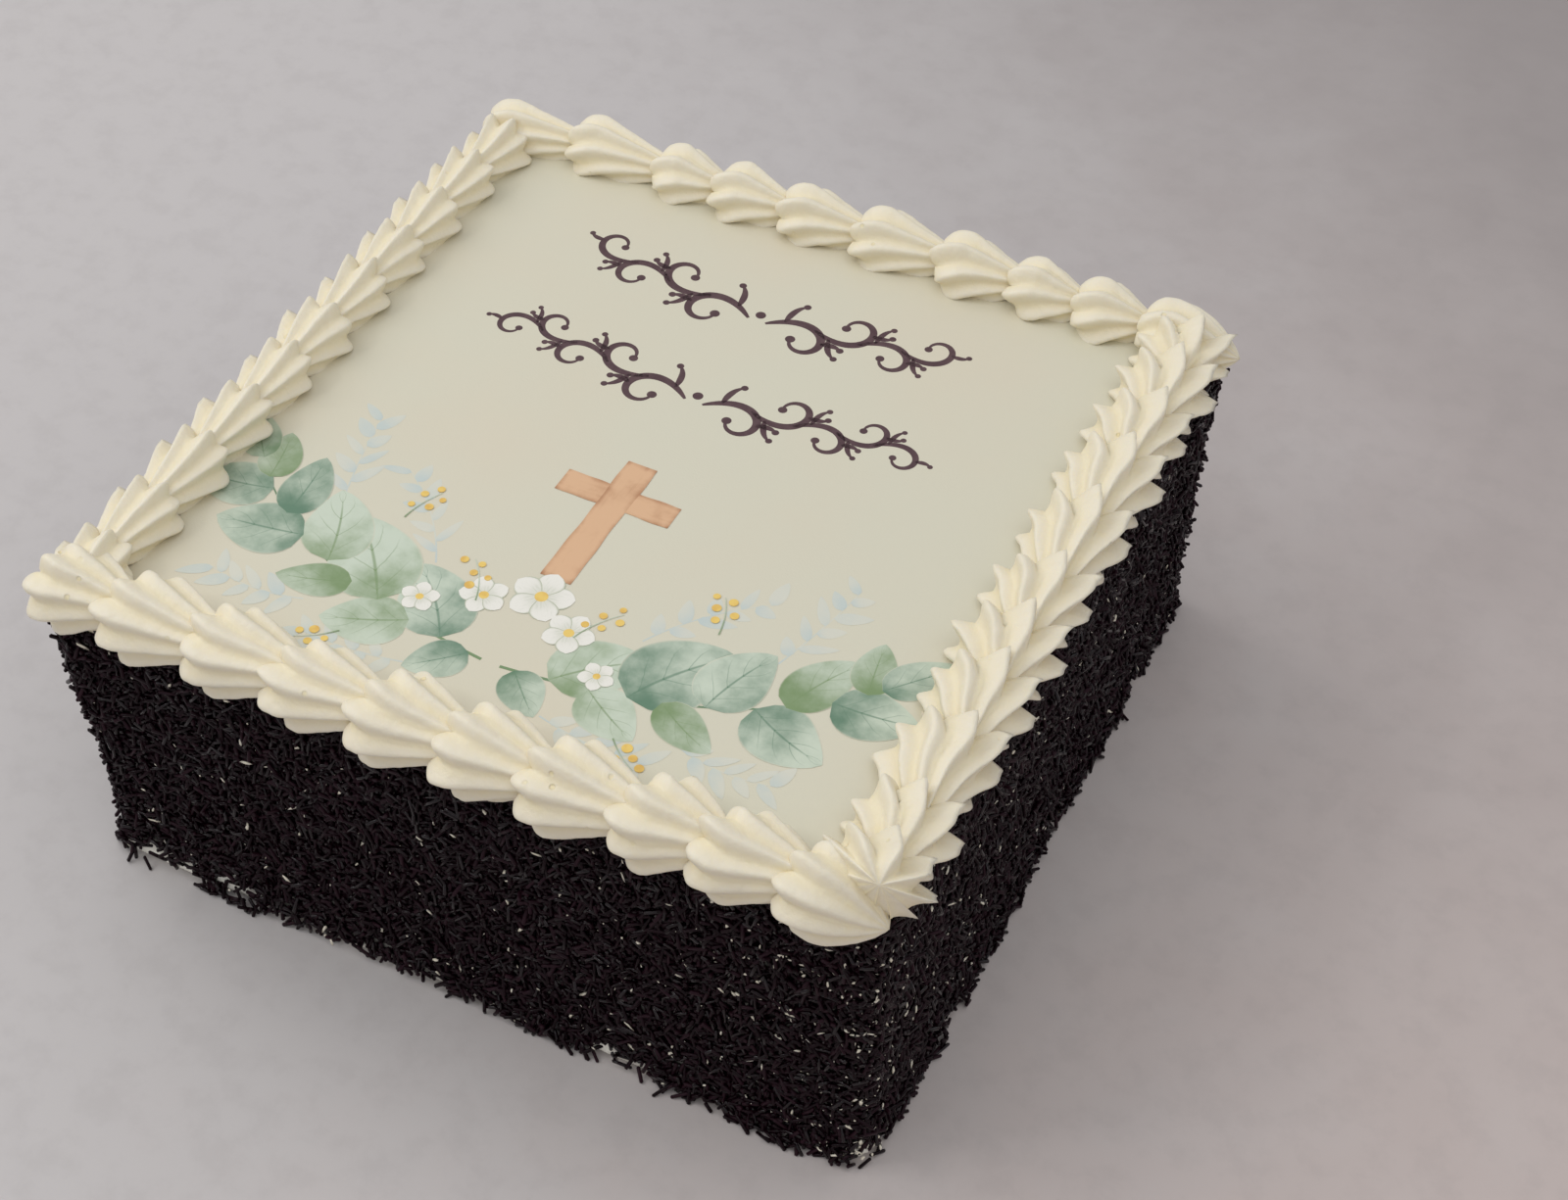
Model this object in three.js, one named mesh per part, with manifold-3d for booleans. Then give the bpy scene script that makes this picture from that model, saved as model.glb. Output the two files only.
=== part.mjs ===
// A square celebration cake: a deep cake coated with cream and chocolate strands on all four
// sides, a thin icing sheet laid on its top, and a border of piped cream shells along the four
// top edges. Millimetres, +Z up, origin at the middle of the flat base. -Y is the reader's edge
// of the icing sheet and +X its right-hand edge.
import * as THREE from "three";
import { mergeVertices } from "three/addons/utils/BufferGeometryUtils.js";
import Module from "manifold-3d";

const wasm = await Module();
wasm.setup();

// Cake body
const CAKE_HALF = 128.8; // a 10-inch square cake (254) with its coat
const CAKE_TOP = 113;
const CORNER_RADIUS = 5;
const SIDE_FACETS = 16; // along each side
const CORNER_FACETS = 3; // round each corner
const FACET_LEVELS = 6; // up the sides
const CAKE_SEED = 7;
const COAT_RELIEF = 0.8;
const BASE_FLARE = 2.2;
const BASE_FLARE_HEIGHT = 9;
const WAIST = 1.6;
// Upright corners that stand out: which one, how far at most, and the heights where that starts
// and where it is all there.
const CORNER_BULGES = [
  { corner: [-1, -1], size: 6, low: 15, high: 95 },
  { corner: [1, 1], size: 3, low: 0, high: 50 },
];
const BULGE_REACH = 20;

// Chocolate strands, the largest of the coat
const STRAND_COLUMNS = 7;
const STRAND_ROWS = 3;
const STRAND_SIDES = 5;
const STRAND_RADIUS = [0.95, 1.3];
const STRAND_LENGTH = [7, 10];
const STRAND_TILT = 0.3; // radians out of the side's plane
const STRAND_LIFT = 0.35;
const STRAND_ZONE = [7, 92]; // below the overhanging shells and clear of the ground
const CELL_SPREAD = [0.2, 0.8]; // where a strand's middle lies in its cell of the side

// Icing sheet
const SHEET_HALF = 126;
const SHEET_THICKNESS = 0.5;
const GAP = 0.3;
const SHEET_TOP = CAKE_TOP + GAP + SHEET_THICKNESS;

// Piped shells
const FLUTES = 10; // ridges of the open star nozzle
const HANGING_RIDGES = 2; // below the axis on the outer side
const SHOWN_RIDGES = 8; // from the lowest outer ridge to the first buried one
// Where the head's rings stand, as shares of its length: one more on the runs nearer the reader
const HEAD_STEPS = [0.08, 0.45, 1];
const FAR_HEAD_STEPS = [0.12, 1];
const TIP_STEP = 0.62; // where the further ring of the last shell of a run stands
const TUCK = 10; // length hidden under the next shell
const TIP_SHARE = 0.04; // of the full radius, at the end of a run
const TAPER_POWER = 1.15;
const LAST_TAPER_POWER = 2.1;
const TIP_POWER = 1.6; // how late the tip of a run bends to its place
const RIM_SHARP = 1.7; // how soon the ridges reach their own place on the head
const HEAD_GROWTH = 1.5; // how much further a cover grows at its hollow head than all round
const HOLLOW = 1.3; // how far the middle of the head lies behind, as a share of the lag
const FAN_LENGTH = 8; // how far from the head the ridges still spread
const FULL_LAG_LENGTH = 28; // a shorter shell has less lag
const AXIS_HEIGHT = 117.2;
const SIZE_JITTER = 0.05;
const SHELL_SEED = 21;
const CUT_HALF = CAKE_HALF + 2 * GAP; // the shells keep clear of everything inside this

// The four runs in the order of piping: each shell lies over all that came before it. A run
// starts at its first shell, and the steps lead from shell to shell, as uneven as piped by hand.
// In a run's own frame X is the way it is piped and Y is to the left of that. lean is the
// direction round the axis, in degrees, of the ridge that reaches furthest forward, and lag is how
// far the ridges beside it stay behind. fan is how much the ridges spread at the head, nose how
// far the furrows start behind the ridge ends, and depth their depth as a share of the radius.
// tail is the share of the full radius that is left where the next shell lies over it, rise how
// much of the lost height the axis makes up there, and drift how far it has gone to the left. tip
// is where the last shell of the run ends, to the left of the axis and above it.
const RUNS = [
  {
    name: "back", turn: 0, centre: 123.8, width: 12, height: 11.8, start: -136,
    steps: [32, 31, 23, 25, 27, 29, 26, 22, 22], end: 137, tip: [0, 0],
    headSteps: FAR_HEAD_STEPS, lean: 100, lag: 5, fan: 0.95, head: 10.5, bluff: 2.4, nose: 3, depth: 0.24,
    tail: 0.5, rise: 0.1, drift: 1,
  },
  {
    name: "left", turn: -90, centre: -124.7, width: 11.6, height: 11.6, start: -119,
    steps: [22, 22, 22, 22, 22, 22, 23, 23, 24, 24], end: 132, tip: [0, 0],
    headSteps: FAR_HEAD_STEPS, lean: 55, lag: 8.5, fan: 0.35, head: 7.5, bluff: 2.6, nose: 3.5, depth: 0.2,
    tail: 0.6, rise: 0.3, drift: 0,
  },
  {
    name: "front", turn: 0, centre: -127.3, width: 14.2, height: 14, start: -138,
    steps: [24, 28.5, 27.5, 27, 27, 25.5, 27.5, 24, 25], end: 130, tip: [0, -5.2],
    headSteps: HEAD_STEPS, lean: 150, lag: 7.5, fan: 0.4, head: 9, bluff: 2.5, nose: 3.6, depth: 0.17,
    tail: 0.6, rise: 0.25, drift: -0.5,
  },
  {
    name: "right", turn: -90, centre: 120.2, width: 15.5, height: 14, start: -127,
    steps: [17, 22, 23, 28, 28, 24, 20, 24, 28, 20.5], end: 128, tip: [6.2, 12],
    headSteps: HEAD_STEPS, lean: 55, lag: 9, fan: 0.4, head: 8.5, bluff: 2.7, nose: 4, depth: 0.23,
    tail: 0.52, rise: 0.1, drift: 2.2,
  },
];

const WELD_DISTANCE = 1e-4; // points closer than this are one point
const UP = new THREE.Vector3(0, 0, 1);

const cream = new THREE.MeshStandardMaterial({ name: "piped_cream", color: 0xf3eedb, roughness: 0.5 });
const coat = new THREE.MeshStandardMaterial({ name: "chocolate_strands", color: 0x1d1416, roughness: 0.5 });
const icing = new THREE.MeshStandardMaterial({ name: "icing_sheet", color: 0xdfdfcd, roughness: 0.45 });

// A seeded generator, so that every build gives the same cake.
function seeded(seed) {
  let state = seed;
  return (low = 0, high = 1) => {
    state = (state + 0x6d2b79f5) | 0;
    let t = Math.imul(state ^ (state >>> 15), 1 | state);
    t = (t + Math.imul(t ^ (t >>> 7), 61 | t)) ^ t;
    return low + ((high - low) * ((t ^ (t >>> 14)) >>> 0)) / 4294967296;
  };
}

// The geometry with only its positions, shared between the faces that meet there.
function welded(geometry) {
  const bare = geometry.clone();
  bare.deleteAttribute("normal");
  bare.deleteAttribute("uv");
  return mergeVertices(bare, WELD_DISTANCE);
}

function toSolid(geometry) {
  const shared = welded(geometry);
  return new wasm.Manifold(
    new wasm.Mesh({
      numProp: 3,
      vertProperties: Float32Array.from(shared.attributes.position.array),
      triVerts: Uint32Array.from(shared.index.array),
    }),
  );
}

function toGeometry(solid) {
  const mesh = solid.getMesh();
  const stride = mesh.numProp;
  const positions = new Float32Array(mesh.numVert * 3);
  for (let i = 0; i < mesh.numVert; i++) {
    positions.set(mesh.vertProperties.subarray(i * stride, i * stride + 3), i * 3);
  }
  const geometry = new THREE.BufferGeometry();
  geometry.setAttribute("position", new THREE.BufferAttribute(positions, 3));
  geometry.setIndex(new THREE.BufferAttribute(Uint32Array.from(mesh.triVerts), 1));
  geometry.computeVertexNormals();
  return geometry;
}

// A cut can leave a loose scrap beside the piece itself, which is dropped.
function largestBody(solid) {
  return solid.decompose().sort((a, b) => b.volume() - a.volume())[0];
}

// A mesh whose position is the given place and whose geometry is written from there.
function placed(name, solid, material, place) {
  const geometry = toGeometry(solid);
  geometry.translate(-place.x, -place.y, -place.z);
  const mesh = new THREE.Mesh(geometry, material);
  mesh.name = name;
  mesh.position.copy(place);
  return mesh;
}

function roundedSquare(half, radius) {
  const flat = half - radius;
  const outline = new THREE.Shape();
  outline.moveTo(-flat, -half);
  outline.lineTo(flat, -half);
  outline.absarc(flat, -flat, radius, -Math.PI / 2, 0);
  outline.lineTo(half, flat);
  outline.absarc(flat, flat, radius, 0, Math.PI / 2);
  outline.lineTo(-flat, half);
  outline.absarc(-flat, flat, radius, Math.PI / 2, Math.PI);
  outline.lineTo(-half, -flat);
  outline.absarc(-flat, -flat, radius, Math.PI, 1.5 * Math.PI);
  return outline;
}

// How far the side stands out at a height: a flare at the foot and a slight waist.
function sideOffset(z) {
  const flare = BASE_FLARE * Math.exp(-z / BASE_FLARE_HEIGHT);
  return flare - WAIST * Math.sin((Math.PI * z) / CAKE_TOP);
}

// Moves a point of the cake's side outwards near the corners that stand out.
function bulge(point) {
  const { x, y, z } = point;
  for (const { corner, size, low, high } of CORNER_BULGES) {
    const apart = Math.hypot(x - corner[0] * CAKE_HALF, y - corner[1] * CAKE_HALF);
    const out = size * THREE.MathUtils.smoothstep(z, low, high) * Math.exp(-((apart / BULGE_REACH) ** 2));
    point.x += (out * corner[0]) / Math.SQRT2;
    point.y += (out * corner[1]) / Math.SQRT2;
  }
  return point;
}

// A block with the cake's outline and its bulging corners. reach gives how far the side stands out
// at a height, and knows whether that is at the top or bottom edge.
function makeBlock(half, height, reach) {
  const outline = roundedSquare(half, CORNER_RADIUS);
  const points = outline.curves.flatMap((curve) =>
    curve.getPoints(curve.isLineCurve ? SIDE_FACETS : CORNER_FACETS).slice(0, -1),
  );
  const upright = { depth: height, steps: FACET_LEVELS, bevelEnabled: false };
  const block = welded(new THREE.ExtrudeGeometry(new THREE.Shape(points), upright));
  const position = block.attributes.position;
  const point = new THREE.Vector3();
  const flat = half - CORNER_RADIUS;
  for (let i = 0; i < position.count; i++) {
    point.fromBufferAttribute(position, i);
    const out = new THREE.Vector3(
      point.x - THREE.MathUtils.clamp(point.x, -flat, flat),
      point.y - THREE.MathUtils.clamp(point.y, -flat, flat),
      0,
    ).normalize();
    const isRim = Math.min(point.z, height - point.z) < height / FACET_LEVELS / 2;
    bulge(point.addScaledVector(out, reach(point.z, isRim)));
    position.setXYZ(i, point.x, point.y, point.z);
  }
  return toSolid(block);
}

function makeCore(random) {
  return makeBlock(CAKE_HALF, CAKE_TOP, (z, isRim) => {
    const relief = isRim ? 0 : random(-COAT_RELIEF, COAT_RELIEF);
    return sideOffset(z) + relief;
  });
}

// One strand on a side: turn is the side, along and z its place, spin its direction on the side.
function makeStrand(turn, along, z, random) {
  const radius = random(...STRAND_RADIUS);
  const length = random(...STRAND_LENGTH);
  const spin = random(0, Math.PI);
  const strand = new THREE.CylinderGeometry(radius, radius, length, STRAND_SIDES);
  strand.rotateX(random(-STRAND_TILT, STRAND_TILT));
  strand.rotateZ(spin);
  strand.rotateX(Math.PI / 2);
  strand.rotateZ(turn);
  const place = new THREE.Vector3(along, -(CAKE_HALF + sideOffset(z) + STRAND_LIFT), z);
  bulge(place.applyAxisAngle(UP, turn));
  strand.translate(place.x, place.y, place.z);
  return toSolid(strand);
}

function makeCake() {
  const random = seeded(CAKE_SEED);
  let cake = makeCore(random);
  const flat = CAKE_HALF - CORNER_RADIUS;
  const columnPitch = (2 * flat) / STRAND_COLUMNS;
  const rowPitch = (STRAND_ZONE[1] - STRAND_ZONE[0]) / STRAND_ROWS;
  for (let side = 0; side < 4; side++) {
    for (let column = 0; column < STRAND_COLUMNS; column++) {
      for (let row = 0; row < STRAND_ROWS; row++) {
        const along = -flat + (column + random(...CELL_SPREAD)) * columnPitch;
        const z = STRAND_ZONE[0] + (row + random(...CELL_SPREAD)) * rowPitch;
        cake = cake.add(makeStrand((side * Math.PI) / 2, along, z, random));
      }
    }
  }
  return largestBody(cake);
}

function makeSheet() {
  const sheet = new THREE.BoxGeometry(2 * SHEET_HALF, 2 * SHEET_HALF, SHEET_THICKNESS);
  sheet.translate(0, 0, SHEET_TOP - SHEET_THICKNESS / 2);
  return toSolid(sheet);
}

// The places along a shell where its rings stand: some round the head and one or two behind it.
function stationsOf(shell) {
  const head = shell.headSteps.map((share) => share * shell.head);
  return shell.isLast ? [...head, TIP_STEP * shell.length, shell.length] : [...head, shell.length];
}

// The share of the full radius at a place on the bluff rounded head.
function headShare(s, shell) {
  const back = Math.max(1 - s / shell.head, 0);
  return (1 - back ** shell.bluff) ** (1 / shell.bluff);
}

// The share of the full radius that the taper to the tail leaves at a place.
function tailShare(s, shell) {
  const run = Math.max(s - shell.head, 0) / (shell.covered - shell.head);
  const power = shell.isLast ? LAST_TAPER_POWER : TAPER_POWER;
  return Math.max(1 - (1 - shell.tail) * run ** power, TIP_SHARE);
}

// How far the axis has moved at a place, to the left and up.
function axisShift(s, shell) {
  if (shell.isLast) return shell.tip.map((offset) => offset * (s / shell.length) ** TIP_POWER);
  const lost = 1 - tailShare(s, shell);
  return [(shell.drift * lost) / (1 - shell.tail), shell.rise * lost * shell.height];
}

// The directions round a shell's axis, from the lowest ridge that hangs over the side to the
// first that lies under the shell, with perRidge directions for each ridge. Ridges have even
// places in the list and valleys odd ones.
function directionsOf(shell, perRidge) {
  const step = (2 * Math.PI) / FLUTES / perRidge;
  const low = shell.centre > 0 ? -HANGING_RIDGES : HANGING_RIDGES + FLUTES / 2 - SHOWN_RIDGES;
  return Array.from({ length: SHOWN_RIDGES * perRidge + 1 }, (_, k) => (low * perRidge + k) * step);
}

// A shell on the rim, as a blank whose rings follow the head, the ridges and the tail. With one
// direction for each ridge it has no valleys, and grow makes it larger all round: that is the
// space that a shell takes from those below it.
function makeShell(shell, perRidge, grow) {
  const stations = stationsOf(shell);
  const rings = stations.length - 1;
  const directions = directionsOf(shell, perRidge);
  const count = directions.length;
  const blank = new THREE.CylinderGeometry(1, 1, rings, count, rings);
  const position = blank.attributes.position;
  for (let i = 0; i < position.count; i++) {
    const ring = Math.round(position.getY(i) + rings / 2);
    const fromAxis = Math.round(Math.hypot(position.getX(i), position.getZ(i)));
    const turns = Math.atan2(position.getX(i), position.getZ(i)) / (2 * Math.PI);
    const k = Math.round((turns + 1) * count) % count;
    const isValley = perRidge === 2 && k % 2 === 1;
    const s = stations[ring];
    const fromLean = directions[k] - shell.lean;
    const angle = directions[k] + shell.fan * Math.exp(-s / FAN_LENGTH) * Math.sin(fromLean);
    const bluff = headShare(s, shell) * fromAxis;
    const share = bluff * tailShare(s, shell) * (isValley ? 1 - shell.depth : 1);
    const rim = Math.min(bluff * RIM_SHARP, 1);
    const ridgeLag = shell.lag * (1 - Math.cos(fromLean)) + (isValley ? shell.nose : 0);
    const lag = ridgeLag * rim + HOLLOW * shell.lag * (1 - rim);
    const [aside, rise] = axisShift(s, shell);
    const end = s < shell.head ? -HEAD_GROWTH * grow : ring === rings ? grow : 0;
    position.setXYZ(
      i,
      shell.start + s + lag * (1 - s / shell.length) + end,
      shell.centre + aside + (shell.width * share + grow * fromAxis) * Math.cos(angle),
      AXIS_HEIGHT + rise + (shell.height * share + grow * fromAxis) * Math.sin(angle),
    );
  }
  blank.rotateZ(THREE.MathUtils.degToRad(shell.turn));
  return toSolid(blank);
}

// Every shell's own sizes, in the order of piping.
function listShells() {
  const random = seeded(SHELL_SEED);
  const shells = [];
  for (const run of RUNS) {
    let start = run.start;
    const last = run.steps.length;
    for (let i = 0; i <= last; i++) {
      const isLast = i === last;
      const size = 1 + random(-SIZE_JITTER, SIZE_JITTER);
      const length = isLast ? run.end - start : run.steps[i] + TUCK;
      shells.push({
        ...run,
        name: "shell_" + run.name + "_" + String(i + 1).padStart(2, "0"),
        width: run.width * size,
        height: run.height * size,
        lean: THREE.MathUtils.degToRad(run.lean),
        lag: run.lag * Math.min(length / FULL_LAG_LENGTH, 1),
        tail: isLast ? TIP_SHARE : run.tail,
        start,
        length,
        covered: isLast ? length : run.steps[i],
        isLast,
      });
      start += run.steps[i];
    }
  }
  return shells;
}

function boxesMeet(a, b) {
  return a.min.every((low, i) => low <= b.max[i] && b.min[i] <= a.max[i]);
}

function makeBorder() {
  const inside = makeBlock(CUT_HALF, SHEET_TOP + GAP, () => 0);
  const shells = listShells();
  const covers = shells.map((shell) => makeShell(shell, 1, GAP).add(makeShell(shell, 2, GAP)));
  const border = new THREE.Group();
  shells.forEach((shell, i) => {
    let solid = makeShell(shell, 2, 0).subtract(inside);
    for (const cover of covers.slice(i + 1)) {
      if (boxesMeet(solid.boundingBox(), cover.boundingBox())) solid = solid.subtract(cover);
    }
    const place = new THREE.Vector3(shell.start, shell.centre, SHEET_TOP + GAP);
    place.applyAxisAngle(UP, THREE.MathUtils.degToRad(shell.turn));
    border.add(placed(shell.name, largestBody(solid), cream, place));
  });
  return border;
}

const cake = new THREE.Group();
cake.add(placed("cake", makeCake(), coat, new THREE.Vector3()));
cake.add(placed("icing_sheet", makeSheet(), icing, new THREE.Vector3(0, 0, CAKE_TOP + GAP)));
cake.add(makeBorder());

export default cake;
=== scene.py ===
"""A square celebration cake, dressed for Blender: a cream coat covered with chocolate strands,
a printed icing sheet on top and a border of piped cream shells. It is modelled in metres round
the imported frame, with +Z up, -Y at the reader's edge of the sheet and +X at its right edge.
"""

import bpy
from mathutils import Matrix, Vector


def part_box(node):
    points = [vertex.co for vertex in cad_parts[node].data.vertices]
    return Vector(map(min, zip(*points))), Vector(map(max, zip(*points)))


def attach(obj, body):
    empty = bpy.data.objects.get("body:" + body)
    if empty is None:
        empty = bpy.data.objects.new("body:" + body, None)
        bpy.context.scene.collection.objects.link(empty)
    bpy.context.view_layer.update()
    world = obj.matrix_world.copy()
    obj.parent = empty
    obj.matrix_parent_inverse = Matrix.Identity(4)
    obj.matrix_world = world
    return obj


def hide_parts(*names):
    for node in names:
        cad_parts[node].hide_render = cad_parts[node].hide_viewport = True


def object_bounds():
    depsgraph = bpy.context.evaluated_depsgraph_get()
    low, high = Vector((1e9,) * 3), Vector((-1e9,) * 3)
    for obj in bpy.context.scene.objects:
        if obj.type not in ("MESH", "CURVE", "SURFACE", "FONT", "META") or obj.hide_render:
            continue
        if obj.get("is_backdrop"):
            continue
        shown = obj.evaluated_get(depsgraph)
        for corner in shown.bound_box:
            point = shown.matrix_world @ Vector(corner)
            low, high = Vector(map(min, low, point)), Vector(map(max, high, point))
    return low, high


bl_info = {
    "name": "Square Celebration Cake",
    "version": (1, 0, 0),
    "blender": (4, 5, 0),
    "location": "3D View > Sidebar > Cake",
    "description": "Pipes, coats and prints a square celebration cake round its packed frame",
    "category": "Add Mesh",
}

import math
import bpy
import numpy as np
from bpy.props import FloatProperty, FloatVectorProperty, IntProperty, PointerProperty
from mathutils import Matrix, Vector

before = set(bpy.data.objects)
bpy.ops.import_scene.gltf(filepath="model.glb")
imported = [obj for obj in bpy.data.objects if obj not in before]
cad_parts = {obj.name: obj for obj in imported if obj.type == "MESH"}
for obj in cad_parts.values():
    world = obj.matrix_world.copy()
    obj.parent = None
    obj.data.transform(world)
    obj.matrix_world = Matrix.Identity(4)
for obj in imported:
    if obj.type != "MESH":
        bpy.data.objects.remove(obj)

MM = 0.001
BODY = "root"
CAD_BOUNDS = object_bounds()

# The cake's body and sheet, from the frame
SHEET_LOW, SHEET_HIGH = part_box("icing_sheet")
CAKE_TOP = SHEET_LOW.z
SHEET_TOP = SHEET_HIGH.z
SHEET_HALF = SHEET_HIGH.x

# The cream coat under the strands
COAT_HALF = 128.0 * MM
CORNER_RADIUS = 5 * MM
BASE_FLARE = 2.2 * MM
BASE_FLARE_HEIGHT = 9 * MM
WAIST = 1.6 * MM
# Upright corners that stand out: which one, how far at most, and the heights where that starts
# and where it is all there.
CORNER_BULGES = [((-1, -1), 6 * MM, 15 * MM, 95 * MM), ((1, 1), 3 * MM, 0 * MM, 50 * MM)]
BULGE_REACH = 20 * MM
COAT_LUMP = 14 * MM  # size of the lumps that the palette knife left
CORNER_FACES = 8  # round each upright edge
SIDES = ["front", "right", "back", "left"]
MERGE_DISTANCE = 0.02 * MM  # points closer than this are one point

# The border: four runs of shells in the order of piping, in millimetres. A run starts at its
# first shell, and the steps lead from shell to shell. In a run's own frame X is the way it is
# piped and Y is to the left of that. lean is the direction round the axis, in degrees, of the
# ridge that reaches furthest forward, and lag is how far the ridges beside it stay behind. fan is
# how much the ridges spread at the head, nose how far the furrows start behind the ridge ends,
# and depth their depth as a share of the radius. tail is the share of the full radius that is
# left where the next shell lies over it, rise how much of the lost height the axis makes up
# there, and drift how far it has gone to the left. crisp is how narrow the crests are beside the
# furrows, from 0 for round ridges to 1, skew how far they lean over to the outside, bow how far
# the ridge ends on top have gone to the inside, and teeth how pointed the ridge ends are that
# hang over the side. dip is how far the head of the first shell has come to the inside and down,
# and tip where the last shell ends, to the left of the axis and above it: the reader's run comes
# down over the corner, and the right-hand run is pulled up to a peak.
RUNS = [
    {"name": "back", "turn": 0, "centre": 123.8, "width": 12, "height": 11.8, "start": -136,
     "steps": [32, 31, 23, 25, 27, 29, 26, 22, 22], "end": 137, "dip": [4, 2.2], "tip": [0, 0],
     "lean": 100, "lag": 5, "fan": 0.95, "head": 10.5, "bluff": 2.4, "nose": 3, "depth": 0.22,
     "tail": 0.5, "rise": 0.1, "drift": 1, "crisp": 0.1, "skew": 0.1, "bow": 2.6, "teeth": 0.3},
    {"name": "left", "turn": -90, "centre": -124.7, "width": 11.6, "height": 11.6, "start": -119,
     "steps": [22, 22, 22, 22, 22, 22, 23, 23, 24, 24], "end": 132, "dip": [1, 1], "tip": [0, 0],
     "lean": 62, "lag": 8.5, "fan": 0.35, "head": 7.5, "bluff": 2.6, "nose": 3.5, "depth": 0.2,
     "tail": 0.6, "rise": 0.3, "drift": 0, "crisp": 0.75, "skew": 0.1, "bow": 0, "teeth": 1},
    {"name": "front", "turn": 0, "centre": -127.3, "width": 14.2, "height": 14, "start": -138,
     "steps": [24, 28.5, 27.5, 27, 27, 25.5, 27.5, 24, 25], "end": 130, "dip": [0, 0],
     "tip": [0, -5.2], "lean": 150, "lag": 7.5, "fan": 0.4, "head": 9, "bluff": 2.5, "nose": 2.4,
     "depth": 0.15, "tail": 0.6, "rise": 0.25, "drift": -0.5, "crisp": 0.1, "skew": 0.2,
     "bow": 1.2, "teeth": 0.35},
    {"name": "right", "turn": -90, "centre": 120.2, "width": 15.5, "height": 14, "start": -127,
     "steps": [17, 22, 23, 28, 28, 24, 20, 24, 28, 20.5], "end": 128, "dip": [0, 0],
     "tip": [6.2, 12], "lean": 55, "lag": 9, "fan": 0.4, "head": 8.5, "bluff": 2.7, "nose": 4,
     "depth": 0.24, "tail": 0.52, "rise": 0.1, "drift": 2.2, "crisp": 0.1, "skew": 0.3,
     "bow": 4, "teeth": 1},
]
RUN_LENGTHS = ["centre", "width", "height", "start", "end", "lag", "head", "nose", "drift", "bow"]
RUN_LISTS = ["steps", "dip", "tip"]
FLUTES = 10
AXIS_HEIGHT = 117.2 * MM
TUCK = 14 * MM  # length hidden under the next shell
TAIL_END = 5 * MM  # length over which the hidden tail closes
TIP_END = 1.6 * MM  # length over which the tip of a run closes
TIP_SHARE = 0.04  # of the full radius, at the end of a run
TIP_POWER = 1.6  # how late the tip of a run bends to its place
TAPER_POWER = 1.15
LAST_TAPER_POWER = 2.1
SIZE_JITTER = 0.05
SHELL_SEED = 21
HEAD_ROWS = 0.36  # share of a shell's rows of faces that lies round its head
HEAD_DEPTH = 0.4  # how much deeper the furrows are at the head
HEAD_DEPTH_LENGTH = 5 * MM
FAN_LENGTH = 8 * MM  # how far from the head the ridges still spread
FULL_LAG_LENGTH = 28 * MM  # a shorter shell has less lag
RIM_SHARP = 1.7  # how soon the head's hollow end turns into its rim
HOLLOW = 1.3  # depth of the hollow in the head's end, beside the run's lag
CREST_POWER = 1.7  # how narrow the crests of a crisp ridge are
# How pointed the ends of crisp ridges are: the first value times their crispness, less the second
CRISP_POINT = (1.6, 0.64)
# The ridge ends that hang over the side, as far as the run's teeth say
OUTER_ROUNDNESS = 0.05  # 0 is a point, 1 a half round
OUTER_REACH = 1.0  # how much further they stand out between their furrows
OUTER_DEPTH = 0.5  # how much deeper their furrows are
TEETH_BLUFF = 0.75  # how much sooner they reach their full girth
TOOTH_FLARE = 0.14  # how far their very ends turn up
TOOTH_LENGTH = 4 * MM
INNER_TUCK = 0.6  # how much less the lowest ridge ends on the inside stand out
INNER_START = 0.5  # how far inwards, of 2, a ridge lies from which that begins
# Shares of a run's bow: to the inside at the head, and back to the outside behind it
BOW_HEAD = 1.2
BOW_BULGE = 0.4
BULGE_PLACE = 11 * MM
BULGE_SPREAD = 6 * MM
# How uneven a shell's ridges are
RIDGE_JITTER = 0.03  # of the radius
LAG_JITTER = 0.9 * MM
TURN_JITTER = 0.05  # round the axis, in radians
WAVER = 0.05  # of the ridges' course, in radians
WAVER_LENGTH = 8 * MM
TEARING = 3.5 * MM  # size of the lumps in torn cream
TEARING_HEIGHT = 0.4 * MM
WALL_GAP = 0.5 * MM  # how far beside the coat a shell may hang down
SHEET_BITE = 0.3 * MM  # how far a shell sinks into the icing sheet

# The photograph's camera
IMAGE_WIDTH = 1600
SENSOR_WIDTH = 36.0
FOCAL_PIXELS = 2756.8  # in pixels of an image that is IMAGE_WIDTH wide
CAMERA_AZIMUTH = math.radians(24.38)
CAMERA_ELEVATION = math.radians(45.92)
CAMERA_ROLL = math.radians(2.28)
CAMERA_DISTANCE = 866.8 * MM
CAMERA_TARGET = Vector((28.93, 21.30, 50.0)) * MM


def linear(red, green, blue):
    """A colour as a shader takes it, from its 8-bit screen values."""
    channels = np.array([red, green, blue]) / 255
    low = channels / 12.92
    high = ((channels + 0.055) / 1.055) ** 2.4
    return (*np.where(channels <= 0.04045, low, high).tolist(), 1.0)


def tint(name, description, colour):
    """A colour that a user may change."""
    return FloatVectorProperty(
        name=name, description=description, subtype="COLOR", size=4, min=0, max=1, default=colour)


def distance(name, description, default, least=0.0):
    """A length that a user may change, in metres."""
    return FloatProperty(
        name=name, description=description, unit="LENGTH", subtype="DISTANCE", default=default,
        min=least)


def number(name, description, default, least=0, most=10**6):
    return IntProperty(name=name, description=description, default=default, min=least, max=most)


def watts(name, description, default):
    return FloatProperty(name=name, description=description, unit="POWER", default=default, min=0)


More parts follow.
